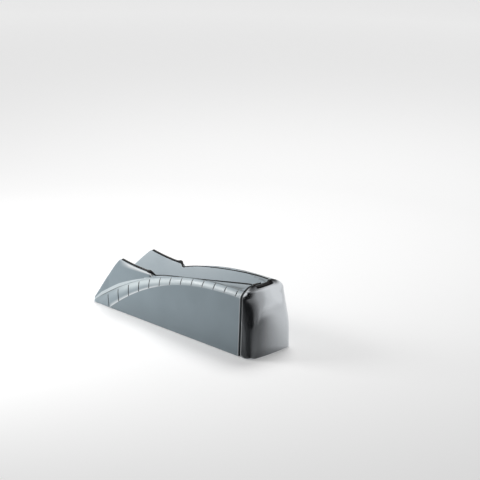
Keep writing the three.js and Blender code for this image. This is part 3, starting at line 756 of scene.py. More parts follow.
def mask_body(s, body):
    """Masks for the body's material: painted shade that fades up the side panel, the band with its lighter
    line, a painted highlight, the ledge, the dark groove line, painted shade, the ridge beside the lips
    with the tyre's shadow painted on it, and the light edges, painted highlights.

    The band's line is a bell curve of the height above its crest. The light edges are thin lines of
    painted highlight at the band's lower edge, under the wings' beads and at the seam. The groove line's
    painted shade also darkens the step where the wings end and the end face in the seam, and the tick
    slots are darkened as painted shade."""
    x, y, z = columns_of(body.data.vertices, "co")
    low, high, top = lower_arch(s, x), upper_arch(s, x), top_level(s, x)
    wing, back, left = wing_share(s, x), x - s.toe_x, s.body_end_x - x
    outside = (np.abs(y) > side_half(s, high) - MARKS.skin) & (z > s.rim_level + 0.2)
    climb = (z - low) / np.maximum(high - low, 1e-6)
    run = between(x, s.toe_x, s.body_end_x)
    # Painted highlight: a lighter line along the band, where it would catch the light.
    line = np.interp(run, *MARKS.highlight_strength) * bell(climb, np.interp(run, *MARKS.crest), 0.36)
    # Painted shade: a dark line in the groove above the band.
    front = between(back, *MARKS.groove_in) * (1.0 - swell(back, *MARKS.groove_out))
    groove = bell(z, high + MARKS.groove, MARKS.groove) * (front + 0.9 * swell(back, *MARKS.groove_rear))
    # Painted shade on the body's end face in the seam.
    rim = (left < MARKS.seam_rim) * (left > 0.01)
    # Painted shade on the step where the wings end.
    step = bell(back, s.wing_setback + MARKS.step, 3.0) * (z > high + 2.0)
    # Painted shade: the tyre's shadow on the ridge beside the lips, near the seam.
    ridge = (z > high + 2.0 * MARKS.groove) * (z > channel_floor(s, x) + 0.5) * between(back, *MARKS.ridge)
    share = (z - high) / np.maximum(top - high, 1e-6)
    # Painted highlights: thin light lines at the band's lower edge, under the wings' beads and at the seam.
    arch_edge = bell(z, low, 0.55) * between(back, *MARKS.edge_in)
    arch_edge = arch_edge * (1.0 - 0.8 * swell(back, *MARKS.edge_out))
    under_bead = bell(z, top - 1.3, 0.8) * wing * between(x, s.horn_x, s.horn_x + MARKS.bead_in)
    seam = 0.6 * between(left, *MARKS.seam) * (left > MARKS.seam_rim) * (z < high)
    panel = (z < low - 0.05) * (np.abs(y) > side_half(s, z) - 2.0)
    masks = {
        # Painted shade: darker towards the floor on the side panel.
        "painted_low_shade": ease(1.0 - between(z, *MARKS.painted_low_shade)) * panel,
        # Painted highlight: the lighter line along the band.
        "band": line * (z > low - 0.05) * (z < high + 0.1) * outside,
        "ledge": (z > high + 0.4) * (z < ledge_level(s, x) + 0.1) * outside * wing,
        "painted_crease_shade": np.clip(np.maximum(groove * outside, rim) + step * outside, 0.0, 1.0),
        # Painted shadow of the tyre on the ridge.
        "ridge": ridge * (1.0 - 0.6 * swell(share, *MARKS.ridge_fade)),
        "painted_edge_highlight": np.clip(arch_edge + under_bead + seam, 0.0, 1.0) * outside,
    }
    for name, values in masks.items():
        set_mask(body, name, values)
    # Painted shade in the tick slots.
    set_mask(body, "slot", slot_faces(s, body), domain="FACE")


def slot_faces(s, body):
    """1 for each face of the ticks' slots, whose middle lies well under the band's own surface.

    The material darkens these faces as painted shade.
    """
    x, y, z = columns_of(body.data.polygons, "center")
    low, high = lower_arch(s, x), upper_arch(s, x)
    climb = (z - low) / np.maximum(high - low, 1e-6)
    skin_y = mix(*band_sides(s, x, low, high), climb)
    skin_y += BAND.bulge * np.minimum(1.0, 3.0 * np.minimum(climb, 1.0 - climb))
    deep = skin_y - np.abs(y)
    away = np.abs(x[:, None] - tick_places(s)[None]).min(axis=1)
    return (deep > 0.18) & (deep < 2.0 * s.tick_depth) & (climb > 0.0) & (climb < 1.0) & (away < 5.0)


# End cap and seal

def end_line(s):
    """Outline of the body's end as levels and half widths, climbing."""
    line = flank(s, np.array([s.body_end_x]))[0]
    line = line[line[:, 1] > s.rim_level + 0.01]
    order = np.maximum.accumulate(line[:, 1])
    keep = np.concatenate([[True], np.diff(order) > 1e-6])
    return line[keep, 1], line[keep, 0]


def cap_tip(s, level):
    """Where the cap ends at a level: the end, less a rake that grows with height and a rounded crown."""
    rake = between(level, CAP.rake_foot, s.upper_arch_height)
    crown = between(level, s.upper_arch_height - CAP.crown_drop, s.lip_end_height)
    return s.end_x - CAP.rake * rake ** CAP.rake_power - CAP.crown * (1.0 - np.sqrt(1.0 - crown ** 2))


def cap_half_outline(s, level, half, tip, inset, edge):
    """Half a plan outline of the cap for y > 0, from the seam face round the corner to the middle.

    The end is a shallow parabola, x = tip - bulge (y / half)^2, and the corner a quarter ellipse
    that spreads across the block as it climbs: it takes along (1 - sin a) off x."""
    half, tip = half[:, None], tip[:, None]
    bulge = CAP.bulge * np.clip(half / s.base_half, 0.0, 1.0)
    room = tip - bulge - s.cap_face_x
    climb = between(level, CAP.rake_foot, s.upper_arch_height)[:, None]
    spread = mix(CAP.corner_low, CAP.corner_high, climb ** CAP.corner_power) - inset[:, None]
    along, across = np.minimum(spread, room * 0.9), np.minimum(spread, half * 0.9)
    side_y = half + CAP.swell
    start_x = tip - bulge - along
    radius = np.minimum(edge, (start_x - s.cap_face_x) * 0.5)
    share = np.array([[0.07, 0.25, 0.5, 0.75]])
    flat_x = mix(s.cap_face_x + radius, start_x, share)
    flat_y = mix(half, side_y, ease(share) * 0.5 + share * 0.5)
    turn_y = side_y - across * leaving(0.0, 1.0, 19)
    turn_x = tip - bulge * (turn_y / side_y) ** 2 + along * reaching(0.0, 1.0, 19)
    end_y = (side_y - across) * np.linspace(1.0, 0.0, 6)[None, 1:]
    end_x = tip - bulge * (end_y / side_y) ** 2
    x = joined(s.cap_face_x + radius * leaving(0.0, 1.0, 5), flat_x, turn_x, end_x)
    y = joined(half + radius * reaching(0.0, 1.0, 5), flat_y, turn_y, end_y)
    return at(x, y)


def cap_ceiling(s, x, y):
    """Highest level that the cap may have at a point: its top with a rounded seam edge, and the dish."""
    top = s.lip_end_height - quarter(x - s.cap_face_x, s.edge_radius)
    return soft_min(top, channel_surface(s, x, y), CAP.soft)


def make_cap():
    """Skin of the end cap: plan outlines stacked up, a cavity open at the seam, and a dished lid.

    Where the cap is solid, below and above its cavity, a ring closes straight across the seam face."""
    s = sizes()
    levels, widths = end_line(s)
    floor, roof = s.rim_level + CAP.wall, s.dish_level - CAP.wall
    z = np.unique(np.round(np.concatenate([
        leaving(s.rim_level, CAP.foot_radius, 6), *(np.arange(*run) for run in CAP.levels),
        reaching(s.lip_end_height, CAP.lip_radius, 12),
        [floor - CAP.step, floor + CAP.step, roof - CAP.step, roof + CAP.step]]), 4))
    inset = quarter(z - s.rim_level, CAP.foot_radius)
    half = np.interp(z, levels, widths) - inset
    outer = cap_half_outline(s, z, half, cap_tip(s, z) - inset, inset, s.edge_radius)
    inner_z = np.minimum(z + CAP.inner_lift, s.lip_end_height)
    inner_half = np.interp(inner_z, levels, widths) - CAP.wall
    inner_tip = cap_tip(s, inner_z) - CAP.wall
    inner = cap_half_outline(s, z, inner_half, inner_tip, np.full_like(z, CAP.wall), 0.01)
    other_side = np.array([1.0, -1.0])
    inner_ring = joined(inner[:, :-1] * other_side, inner[:, ::-1])
    shares = np.linspace(-1.0, 1.0, inner_ring.shape[1])
    solid = ((z < floor) | (z > roof))[:, None, None]
    seam = np.where(solid, at(s.cap_face_x, outer[:, :1, 1] * shares), inner_ring)
    ring = joined(outer, outer[:, ::-1][:, 1:] * other_side, seam)
    height = np.minimum(z[:, None], cap_ceiling(s, ring[..., 0], ring[..., 1]))
    base, lid_x, lid_y = outer[0], outer[-1, :, :1], outer[-1, :, 1:] * shares
    floor_lid = at(base[:, :1], base[:, 1:] * shares, s.rim_level)
    roof_lid = at(lid_x, lid_y, np.minimum(z[-1], cap_ceiling(s, lid_x, lid_y)))
    side = at(ring[..., 0], ring[..., 1], height)
    cap = new_piece("cap_skin", [(side, True), (floor_lid, False), (roof_lid, False)])
    mask_cap(s, cap)
    return cap


def mask_cap(s, cap):
    """Masks for the cap's material: the black strip where the channel runs out over its top, with
    a dark edge that fades from there, both the tyre's shadow painted on, and the dark and light lines
    along the seam, painted shade in the seam and a painted highlight."""
    x, y, z = columns_of(cap.data.vertices, "co")
    away, side = x - s.cap_face_x, np.abs(y)
    strip = between(z, *CAP_MARKS.strip_level) * (1.0 - between(side, *CAP_MARKS.strip_side))
    dark_top = swell(z, *CAP_MARKS.dark_level) * (1.0 - swell(away, *CAP_MARKS.dark_away))
    dark_top = dark_top * (1.0 - swell(side, *CAP_MARKS.dark_side))
    rim = (away < CAP_MARKS.rim) * (away > 0.01)
    # Painted shadow of the tyre on the top, and painted shade on the face in the seam; it is also rougher.
    set_mask(cap, "strip", np.maximum(np.maximum(strip, dark_top), rim))
    # Painted highlight: a light line along the cap's seam edge, where the cap isn't metallic.
    line = between(away, *CAP_MARKS.line_in) * (1.0 - between(away, *CAP_MARKS.line_out))
    line = line * (1.0 - between(z, *CAP_MARKS.line_level))
    set_mask(cap, "painted_seam_highlight", line * (side > CAP_MARKS.line_side))


def make_seal():
    """Rubber ring in the seam: a rounded strip carried round the outline of the body's end.

    A point of the strip is the outline moved in by the seam's depth, then drawn towards the middle
    of the end by the share of the strip's width, (y, z) = middle + (outline - middle) (1 - share)."""
    s = sizes()
    foot = [[[SEAL.foot_half, s.rim_level], [0.0, s.rim_level]]]
    half = joined(half_ring(s, np.array([s.body_end_x])), foot)
    outline = whole_ring(inset_line(half, [SEAL.inset]))[0]
    start, end = s.body_end_x + SEAL.gap, s.cap_face_x - SEAL.gap
    middle = np.array([0.0, SEAL.middle])
    angle = np.linspace(0.0, math.pi, 9)
    across = (start + end) / 2.0 + (end - start) / 2.0 * np.cos(angle)
    share = np.concatenate([SEAL.swell * (1.0 - np.sin(angle)), [SEAL.width, SEAL.width]])
    place = np.concatenate([across, [start, end]])
    ring = middle + (outline[:, None] - middle) * (1.0 - share[None, :, None])
    grid = at(place, ring[..., 0], ring[..., 1])
    return new_piece("seam_seal_skin", [(np.concatenate([grid, grid[:1]]), True)], sharp=50.0)


# Pad and beads

def make_pad():
    """Channel pad: a section with rounded shoulders carried along the channel, with cross ribs.

    A rib's height is a softened trapezoid of the distance from the lowest place, repeated at the pitch."""
    s = sizes()
    start, end = s.toe_x + PAD.start, s.body_end_x - PAD.end
    x = np.concatenate([
        leaving(start, PAD.end_radius, 6), np.arange(start + 1.6, end - 1.4, 0.5),
        reaching(end, PAD.end_radius, 6)])
    left, half_rib = np.minimum(x - start, end - x), s.pad_rib_width / 2.0
    away = np.mod(np.abs(x - s.channel_low_x), s.pad_rib_pitch) - s.pad_rib_pitch / 2.0 - PAD.rib_shift
    rib = ease(1.0 - between(np.abs(away), half_rib - PAD.rib_inner, half_rib + PAD.rib_outer))
    rib = s.pad_rib_height * rib * swell(left, 1.0, 3.0)
    drop = quarter(left, PAD.end_radius)
    bottom = channel_floor(s, x) + PAD.gap
    crest = bottom + s.pad_thickness + rib - drop
    half = s.channel_half - PAD.gap - 0.5 * drop
    line = np.stack([
        at(0.0, bottom), at(half, bottom), at(half, bottom + s.pad_thickness - drop - PAD.shoulder_z),
        at(half - PAD.shoulder_y, crest), at(0.0, crest)], axis=1)
    soft = rounded(line, [0.2, 0.5, 0.9], steps=4)
    floor = between_points(soft[:, -2], soft[:, -1], np.arange(1, 6) / 6.0)
    half_line = joined(soft[:, :-1], floor, soft[:, -1:])[:, ::-1]
    return tube("channel_pad_skin", along_x(x, whole_ring(half_line)))


def make_bead(word, side):
    """Edge bead on one lip: half an ellipse carried along the lip, thinner towards both ends.

    Where the wing ends it swells to a knob, by a bell curve of the distance from that place. Behind
    the wings it is lower still, by a share read off a curve along the lip."""
    s = sizes()
    start, end = s.horn_x + BEAD.start, s.body_end_x - BEAD.end
    x = np.concatenate([
        leaving(start, BEAD.nose, 8), np.arange(start + 3.8, s.wing_end_x, 1.2),
        np.arange(s.wing_end_x + 0.4, s.wing_tail_x, 0.5),
        np.arange(s.wing_tail_x + 0.5, end - 3.0, 1.4), reaching(end, BEAD.tail, 8)])
    wing = wing_share(s, x)
    knob = bell(x, s.wing_end_x - BEAD.knob_shift, BEAD.knob_run)
    width = mix(s.bead_lip_width, s.bead_wing_width, wing) + BEAD.knob_width * knob
    taper = np.sqrt(1.0 - (1.0 - between(np.minimum(x - start, end - x), 0.0, BEAD.nose)) ** 2)
    low = np.interp(x, [s.wing_tail_x, s.wing_tail_x + BEAD.dip, *BEAD.dip_end], BEAD.dip_shares)
    height = mix(BEAD.lip_height * low, BEAD.wing_height, wing) + BEAD.knob_height * knob
    height = height * np.maximum(taper, BEAD.least_taper) + BEAD.crown * low
    middle = channel_edge(s, x) + BEAD.gap + width / 2.0
    angle = np.linspace(0.0, math.pi, 13)[None]
    y = middle[:, None] + (width * 0.5 * mix(BEAD.end_width, 1.0, taper))[:, None] * np.cos(angle)
    z = (top_level(s, x) - BEAD.sink)[:, None] + height[:, None] * np.sin(angle) ** BEAD.crown_power
    z = np.minimum(z, s.lip_end_height + BEAD.over)
    return tube(f"lip_bead_{word}_skin", at(x[:, None], side * y, z))


# Feet and screws

def foot_grid(s):
    """A foot about +Z: its section turned once round.

    The section is a rounded pad with rings pressed into its sole, as cos^2 of the share of the
    radius, and then a stem and a bulb that hold it in the plate."""
    sole_r = s.foot_radius - FOOT.sole
    r = np.linspace(0.0, sole_r, 40)
    sole = FOOT.ring * np.clip(np.cos(r / sole_r * FOOT.rings * 2.0 * math.pi), 0.0, 1.0) ** 2
    a = np.linspace(-RIGHT_ANGLE, 0.0, 7)
    edge = at(s.foot_radius - FOOT.edge + FOOT.edge * np.cos(a), FOOT.edge + FOOT.edge * np.sin(a))
    shoulder = [(s.foot_radius - inset, level) for inset, level in FOOT.shoulder]
    return spun_grid(np.concatenate([at(r, sole), edge, shoulder, FOOT.stem]), 48)


def screw_grid(s, long):
    """A pan-head screw about +Z, its head below zero, with a cross recess.

    The head's face is a dome z = -h + rise (r / R)^p, and inside the cross, where |u| or |v| is
    under half the blade's width, it sinks by a soft-edged depth. The shank carries a thread,
    r = core + depth times a saw-tooth of height and angle."""
    steps, radius = 48, s.screw_head_radius
    angle = np.arange(steps) * (2.0 * math.pi / steps)
    r = np.concatenate([np.linspace(0.0, SCREW.recess_radius, 22), np.linspace(2.25, radius, 10)])[:, None]
    u, v = r * np.cos(angle)[None], r * np.sin(angle)[None]
    blade, reach = np.minimum(np.abs(u), np.abs(v)), np.maximum(np.abs(u), np.abs(v))
    cross = ease(1.0 - between(blade, *SCREW.blade)) * ease(1.0 - between(reach, *SCREW.blade_end))
    face = SCREW.dome * (r / radius) ** SCREW.dome_power - SCREW.head + SCREW.recess * cross
    z = np.linspace(0.6, long - 1.6, 90)[:, None]
    turned = np.mod(z / SCREW.pitch - angle[None] / (2.0 * math.pi), 1.0)
    thread = SCREW.core + SCREW.thread * np.abs(2.0 * turned - 1.0)
    thread = np.where(z < 1.0, SCREW.neck, thread)
    rim = np.array([[radius, -0.5], [radius, -0.1], [radius - 0.1, 0.0], [1.75, 0.0], [1.65, 0.3]])
    tip = np.array([[0.5, long - 0.3], [0.0, long]])
    return np.concatenate([
        at(u, v, face), spun_grid(rim, steps), at(thread * np.cos(angle), thread * np.sin(angle), z),
        spun_grid(tip, steps)])


# Node groups and materials

DUST_TONE = (0.55, 0.53, 0.5)
# Painted highlight on the body's thin edges.
EDGE_HIGHLIGHT_TONE = (0.95, 0.97, 0.98)
# Painted shadow and shade on the cap.
CAP_SHADE_TONE = (0.01, 0.01, 0.011)
# Painted highlight along the cap's seam edge.
SEAM_HIGHLIGHT_TONE = (0.45, 0.47, 0.48)


def feed(tree, socket, value):
    """Links an output to an input, or writes a plain value into it."""
    if isinstance(value, bpy.types.NodeSocket):
        tree.links.new(value, socket)
    else:
        socket.default_value = value


def add(tree, kind, inputs=None, **settings):
    """The outputs of a new shader node, whose inputs are each fed an output or a value.

    Nodes stand in rows of six, in the order in which they are made."""
    count = len(tree.nodes)
    node = tree.nodes.new("ShaderNode" + kind)
    node.location = (count % 6 * 220.0, count // 6 * -360.0)
    for name, value in settings.items():
        setattr(node, name, value)
    for name, value in (inputs or {}).items():
        feed(tree, node.inputs[name], value)
    return node.outputs


def calculate(tree, operation, first, second, clamp=False):
    """Two outputs or numbers, put together by an operation."""
    return add(tree, "Math", {0: first, 1: second}, operation=operation, use_clamp=clamp)["Value"]


def times(tree, first, second, clamp=False):
    """The product of two outputs or numbers."""
    return calculate(tree, "MULTIPLY", first, second, clamp)


def stretched(tree, value, start=(0.0, 1.0), end=(0.0, 1.0)):
    """A value's run over one range, kept inside it and stretched to another."""
    ranges = {"From Min": start[0], "From Max": start[1], "To Min": end[0], "To Max": end[1]}
    return add(tree, "MapRange", {"Value": value, **ranges})["Result"]


def noise(tree, vector, scale, detail, rough=0.5):
    """The value of a noise texture."""
    inputs = {"Vector": vector, "Scale": scale, "Detail": detail, "Roughness": rough}
    return add(tree, "TexNoise", inputs)["Fac"]


def mask(tree, name, amount=1.0):
    """A piece's mask, from 0 to an amount."""
    return stretched(tree, add(tree, "Attribute", attribute_name=name)["Fac"], end=(0.0, amount))


def colour_mix(tree, first, second, share):
    """A mix of two colours or colour outputs by a share."""
    inputs = {0: share}
    for socket, value in ((6, first), (7, second)):
        inputs[socket] = value if isinstance(value, bpy.types.NodeSocket) else (*value, 1.0)
    return add(tree, "Mix", inputs, data_type="RGBA", clamp_factor=True)[2]


def toned(colour, share):
    """A colour made darker or lighter, up to white."""
    return tuple(min(1.0, value * share) for value in colour)


def new_group(name, inputs):
    """An empty shader node group and its inputs. One without a default is a vector."""
    tree = bpy.data.node_groups.new(name, "ShaderNodeTree")
    for label, default in inputs.items():
        kind = "NodeSocketVector" if default is None else "NodeSocketFloat"
        socket = tree.interface.new_socket(label, in_out="INPUT", socket_type=kind)
        if default is not None:
            socket.default_value = default
    return tree, tree.nodes.new("NodeGroupInput").outputs


def close_group(tree, outputs):
    """Gives a node group its named outputs, and returns it."""
    for label in outputs:
        tree.interface.new_socket(label, in_out="OUTPUT", socket_type="NodeSocketFloat")
    end = tree.nodes.new("NodeGroupOutput")
    for label, value in outputs.items():
        feed(tree, end.inputs[label], value)
    return tree


def moulded_grain(name):
    """Spark-eroded grain of a moulded skin: fine cells over fine noise, and a slow mottle."""
    tree, given = new_group(name, {"Vector": None, "Scale": 2000.0, "Depth": 0.1})
    fine = noise(tree, given["Vector"], given["Scale"], 3.0, 0.6)
    lookup = {"Vector": given["Vector"], "Scale": given["Scale"]}
    cells = add(tree, "TexVoronoi", lookup, feature="SMOOTH_F1")["Distance"]
    height = times(tree, times(tree, fine, cells), given["Depth"])
    slow = noise(tree, given["Vector"], 22.0, 4.0, 0.55)
    return close_group(tree, {"Height": height, "Mottle": stretched(tree, slow, (0.3, 0.7))})


def handling_wear(name):
    """Marks of handling: thin scuffs that run along the block, and rubbed patches."""
    tree, given = new_group(name, {"Vector": None, "Amount": 0.3})
    drawn = add(tree, "Mapping", {"Vector": given["Vector"], "Scale": (9.0, 160.0, 130.0)})["Vector"]
    thin = stretched(tree, noise(tree, drawn, 1.4, 5.0, 0.7), (0.66, 0.76))
    where = stretched(tree, noise(tree, given["Vector"], 26.0, 3.0), (0.5, 0.72))
    scuffs = times(tree, times(tree, thin, where), given["Amount"])
    rubbed = times(tree, where, given["Amount"])
    return close_group(tree, {"Scuffs": scuffs, "Rubbed": rubbed})


def settled_dust(name):
    """Dust on what faces up: the upward part of the normal, times fine specks and slow drifts."""
    tree, given = new_group(name, {"Vector": None, "Normal": None, "Amount": 0.1})
    up = stretched(tree, add(tree, "SeparateXYZ", {"Vector": given["Normal"]})["Z"], (0.35, 1.0))
    specks = noise(tree, given["Vector"], 420.0, 4.0, 0.7)
    drifts = noise(tree, given["Vector"], 30.0, 2.0)
    much = times(tree, up, times(tree, specks, drifts))
    dust = times(tree, much, given["Amount"], clamp=True)
    return close_group(tree, {"Dust": times(tree, dust, 4.0, clamp=True)})


EFFECTS = {"Moulded grain": moulded_grain, "Handling wear": handling_wear, "Settled dust": settled_dust}


def effect(tree, name, inputs):
    """Places a shared node group, which is made the first time that it is needed."""
    group = bpy.data.node_groups.get(name) or EFFECTS[name](name)
    return add(tree, "Group", inputs, node_tree=group)


def new_material(name):
    """An empty material and its node tree."""
    material = bpy.data.materials.new(name)
    material.use_nodes = True
    material.node_tree.nodes.clear()
    return material, material.node_tree


def finish_material(name, colour, rough, mottle, amounts, masks=(), rough_range=0.08, bump=0.25,
                    unplated=None, matt=None, **principled):
    """A procedural finish: mottled colour, masks of its own, wear and dust, over a grained bump.

    Where the mask that turns metal off is 1 it isn't metallic, and where the matt mask is 1 it is rougher."""
    fineness, depth, wear, dust = amounts
    material, tree = new_material(name)
    place = add(tree, "TexCoord")
    grain = effect(tree, "Moulded grain", {"Vector": place["Object"], "Scale": fineness, "Depth": depth})
    marks = effect(tree, "Handling wear", {"Vector": place["Object"], "Amount": wear})
    facing = {"Vector": place["Object"], "Normal": place["Normal"], "Amount": dust}
    settled = effect(tree, "Settled dust", facing)
    base = colour_mix(tree, toned(colour, 1.0 - mottle), toned(colour, 1.0 + mottle), grain["Mottle"])
    for own, tint, amount in masks:
        base = colour_mix(tree, base, tint, mask(tree, own, amount))
    pale = tuple(mix(value, 0.8, 0.25) for value in colour)
    base = colour_mix(tree, base, pale, marks["Scuffs"])
    base = colour_mix(tree, base, DUST_TONE, settled["Dust"])
    uneven = calculate(
        tree, "ADD", stretched(tree, grain["Mottle"], end=(rough - rough_range, rough + rough_range)),
        stretched(tree, marks["Rubbed"], end=(0.0, 0.3)))
    if matt is not None:
        uneven = calculate(tree, "ADD", uneven, mask(tree, matt, 0.65), clamp=True)
    height = {"Strength": bump, "Distance": 0.0002, "Height": grain["Height"]}
    surface = {"Base Color": base, "Roughness": uneven, "Normal": add(tree, "Bump", height)["Normal"]}
    if unplated is not None:
        bare = add(tree, "Attribute", attribute_name=unplated)["Fac"]
        surface["Metallic"] = stretched(tree, bare, end=(principled.pop("Metallic"), 0.0))
    shader = add(tree, "BsdfPrincipled", {**principled, **surface})
    add(tree, "OutputMaterial", {"Surface": shader["BSDF"]})
    return material


def finish_table(look):
    """What each slot's material is made of: colour, roughness, mottle, the shares that it takes of
    the panel's grain fineness, grain depth, wear and dust, and what is its own."""
    # Painted light among the body's masks: shade low on the side panel, a highlight line along the band, the
    # tyre's shadow by the ridge, shade in the groove, on the step, in the seam and in the slots, and
    # highlights on thin edges.
    body = {"masks": (
        ("painted_low_shade", toned(look.body, 0.72), 0.5), ("band", look.band, 1.0), ("ledge", look.ledge, 1.0),
        ("ridge", toned(look.body, 0.32), 0.9), ("painted_crease_shade", toned(look.body, 0.12), 0.85),
        ("painted_edge_highlight", EDGE_HIGHLIGHT_TONE, 0.9), ("slot", toned(look.body, 0.12), 1.0))}
    # The cap's strip is the tyre's shadow and the seam's shade, painted; its seam line is a painted
    # highlight.
    cap = {"masks": (("strip", CAP_SHADE_TONE, 1.0), ("painted_seam_highlight", SEAM_HIGHLIGHT_TONE, 1.0)),
           "rough_range": 0.04, "bump": 0.12, "unplated": "painted_seam_highlight", "matt": "strip", "Metallic": 0.97}
    return {
        "body_plastic": (look.body, 0.36, 0.05, (1.0, 1.0, 1.0, 1.0), body),
        "cap_plastic": (look.cap, 0.15, 0.03, (0.6, 0.3, 0.6, 0.1), cap),
        "black_rubber": (look.rubber, 0.72, 0.15, (1.4, 2.5, 1.0, 1.0), {"Specular IOR Level": 0.2}),
        "plate_plastic": (look.plate, 0.5, 0.08, (0.8, 3.0, 1.0, 1.0), {}),
        "foot_rubber": (look.foot, 0.65, 0.15, (1.2, 3.0, 1.0, 1.0), {}),
        "screw_steel": (look.steel, 0.3, 0.08, (1.6, 1.0, 1.0, 0.0), {"Metallic": 1.0}),
    }


def finish_named(slot):
    """The material of a slot, made once from the panel's colours."""
    name = f"{slot}_finish"
    known = bpy.data.materials.get(name)
    if known is not None:
        return known
    look = bpy.context.scene.riser_finish
    colour, rough, mottle, shares, own = finish_table(look)[slot]
    panel = (1.0 / look.grain_size, look.grain_depth, look.wear, look.dust)
    amounts = [value * share for value, share in zip(panel, shares)]
    return finish_material(name, colour, rough, mottle, amounts, **own)


# Stage

FLOOR_HALF = 6.0
FLOOR_GLOW = {"start": (0.7, 2.2), "end": (0.25, 0.62)}
KEY_LAMP = ((0.8, 0.7), (-0.3, 0.6, 1.4), (-0.02, 0.0, 0.05))
FILL_LAMP = ((0.35, 0.3), (-0.44, -0.4, 0.42), (-0.13, 0.0, 0.06))
VIEW_PLACE = (-0.053, 0.0, 0.0)
PIXELS_PER_MM = 0.713
FRAME_PIXELS = 480.0
FRAME_OFFSET = (76.5, 73.2)
SENSOR_MM = 36.0

# The dark card: the corner that it stands round, its radius in metres, the share where it bends up
# and the angle to which it climbs. Its cover is read off curves, each of places and values, that
# lean with the height. It is bare low down at its end, and the blend joins its flat part and dome.
CARD = SimpleNamespace(
    corner=(0.157, -0.041, 0.0006), radius=0.6, bend=0.45, climb=86.0, end_turn=31.0, end_slant=40.0,
    side=((-180, -168, -125, -104, -60, -40, -17, 5, 31),
          (0, 0.9, 0.92, 0.98, 0.98, 0.94, 0.87, 0.86, 0.83)),
    end=((-0.045, -0.028, -0.018, -0.008, 0.002, 0.015, 0.025, 0.037, 0.052, 0.068),
         (0.84, 0.83, 0.74, 0.63, 0.51, 0.4, 0.29, 0.15, 0.05, 0)),
    dark=((-180, -168, -102, -72, -37, -32, -27, -22, -17),
          (0, 0.9, 0.95, 1, 1, 0.97, 0.9, 0.86, 0.84)),
    light=((4, 11, 15, 20, 25, 33, 38, 42, 45, 48, 52),
           (1, 0.95, 0.87, 0.8, 0.65, 0.6, 0.56, 0.4, 0.22, 0.12, 0)),
    light_lean=((22, 30, 40, 47), (0, 4, 7, 17)),
    top=((-120, -60, -30, -5, 15, 45), (34, 44, 46, 48, 72, 38)), fade=0.26,
    turns=(-180.0, 90.0, 271), rows=64, lean=1.2, more_lean=8.0, more_lean_climb=(24.0, 32.0),
    bare_turn=(38.0, 45.0), bare_climb=(6.0, 11.0), blend=(0.2, 0.45))


def make_floor(stage):
    """A wide flat floor. To the camera, and in reflections, it is brighter than it is lit.

    That glow grows with the distance from the block, from 0.7 to 2.2 metres away."""
    half = FLOOR_HALF
    corners = [(-half, -half, 0), (half, -half, 0), (half, half, 0), (-half, half, 0)]
    floor = new_object("floor", corners, [(0, 1, 2, 3)])
    material, tree = new_material("floor_paint")
    place = add(tree, "TexCoord")["Object"]
    tone = colour_mix(tree, toned(stage.floor, 0.985), stage.floor, noise(tree, place, 1.2, 3.0))
    away = add(tree, "VectorMath", {0: place}, operation="LENGTH")["Value"]
    glow = times(tree, seen_rays(tree), stretched(tree, away, **FLOOR_GLOW))
    shader = add(tree, "BsdfPrincipled", {
        "Base Color": tone, "Roughness": 0.9, "Specular IOR Level": 0.1,
        "Emission Color": (1.0, 1.0, 1.0, 1.0), "Emission Strength": glow})
    add(tree, "OutputMaterial", {"Surface": shader["BSDF"]})
    floor.data.materials.append(material)


def card_cover(degrees, turn, share, climb, reach):
    """How dark the card is at each of its points.

    Its flat part follows the side curve of the direction, and past the end's turn the end curve of
    where a slanting line from the point meets the cap's end. Its dome is the dark curve times the
    light curve, both leaning with the height. The two are blended over the share, and the whole
    fades out above the top curve."""
    side = np.interp(degrees, *CARD.side)
    slant = math.tan(math.radians(CARD.end_slant))
    meets = reach * (np.sin(turn) - np.cos(turn) * slant) + CARD.corner[1]
    flat = np.where(degrees < CARD.end_turn, side, np.interp(meets, *CARD.end))
    height = np.degrees(climb)
    lean = CARD.lean * height + CARD.more_lean * swell(height, *CARD.more_lean_climb)
    dark = np.interp(degrees - lean, *CARD.dark)
    light = np.interp(degrees - np.interp(height, *CARD.light_lean), *CARD.light)
    bare = swell(degrees, *CARD.bare_turn) * (1.0 - swell(height, *CARD.bare_climb))
    dome = dark * light * (1.0 - bare)
    top = np.radians(np.interp(degrees, *CARD.top))
    return mix(flat, dome, swell(share, *CARD.blend)) * (1.0 - swell(climb, top, top + CARD.fade))


def make_card():
    """A dark screen round the cap's near corner, seen only in the block's gloss.

    It runs out flat over the floor from the corner and then bends up as a quarter dome: reach
    r cos e and rise r sin e for an angle e that climbs with the share."""
    degrees = np.linspace(*CARD.turns)
    turn = np.radians(degrees)
    share = np.linspace(0.0, 1.0, CARD.rows)[:, None]
    climb = math.radians(CARD.climb) * between(share, CARD.bend, 1.0)
    reach = CARD.radius * np.minimum(1.0, share / CARD.bend) * np.cos(climb)
    rise = CARD.radius * np.sin(climb)
    points = np.array(CARD.corner) + at(reach * np.cos(turn), reach * np.sin(turn), rise)
    faces = grid_faces(*points.shape[:2], False).tolist()
    card = new_object("dark_card", points.reshape(-1, 3).tolist(), faces)
    set_mask(card, "cover", card_cover(degrees, turn, share, climb, reach).reshape(-1))
    material, tree = new_material("dark_card")
    clear = add(tree, "BsdfTransparent")["BSDF"]
    black = add(tree, "BsdfDiffuse", {"Color": (0.006, 0.007, 0.008, 1.0)})["BSDF"]
    cover = add(tree, "Attribute", attribute_name="cover")["Fac"]
    both = add(tree, "MixShader", {0: cover, 1: clear, 2: black})["Shader"]
    add(tree, "OutputMaterial", {"Surface": both})
    card.data.materials.append(material)
    card.visible_camera = False
    card.visible_diffuse = False
    card.visible_shadow = False


def seen_rays(tree):
    """1 for what the camera, a gloss or a glass looks at, and 0 for the light that falls on things."""
    rays = add(tree, "LightPath")
    some = calculate(tree, "MAXIMUM", rays["Is Camera Ray"], rays["Is Glossy Ray"])
    return calculate(tree, "MAXIMUM", some, rays["Is Transmission Ray"])


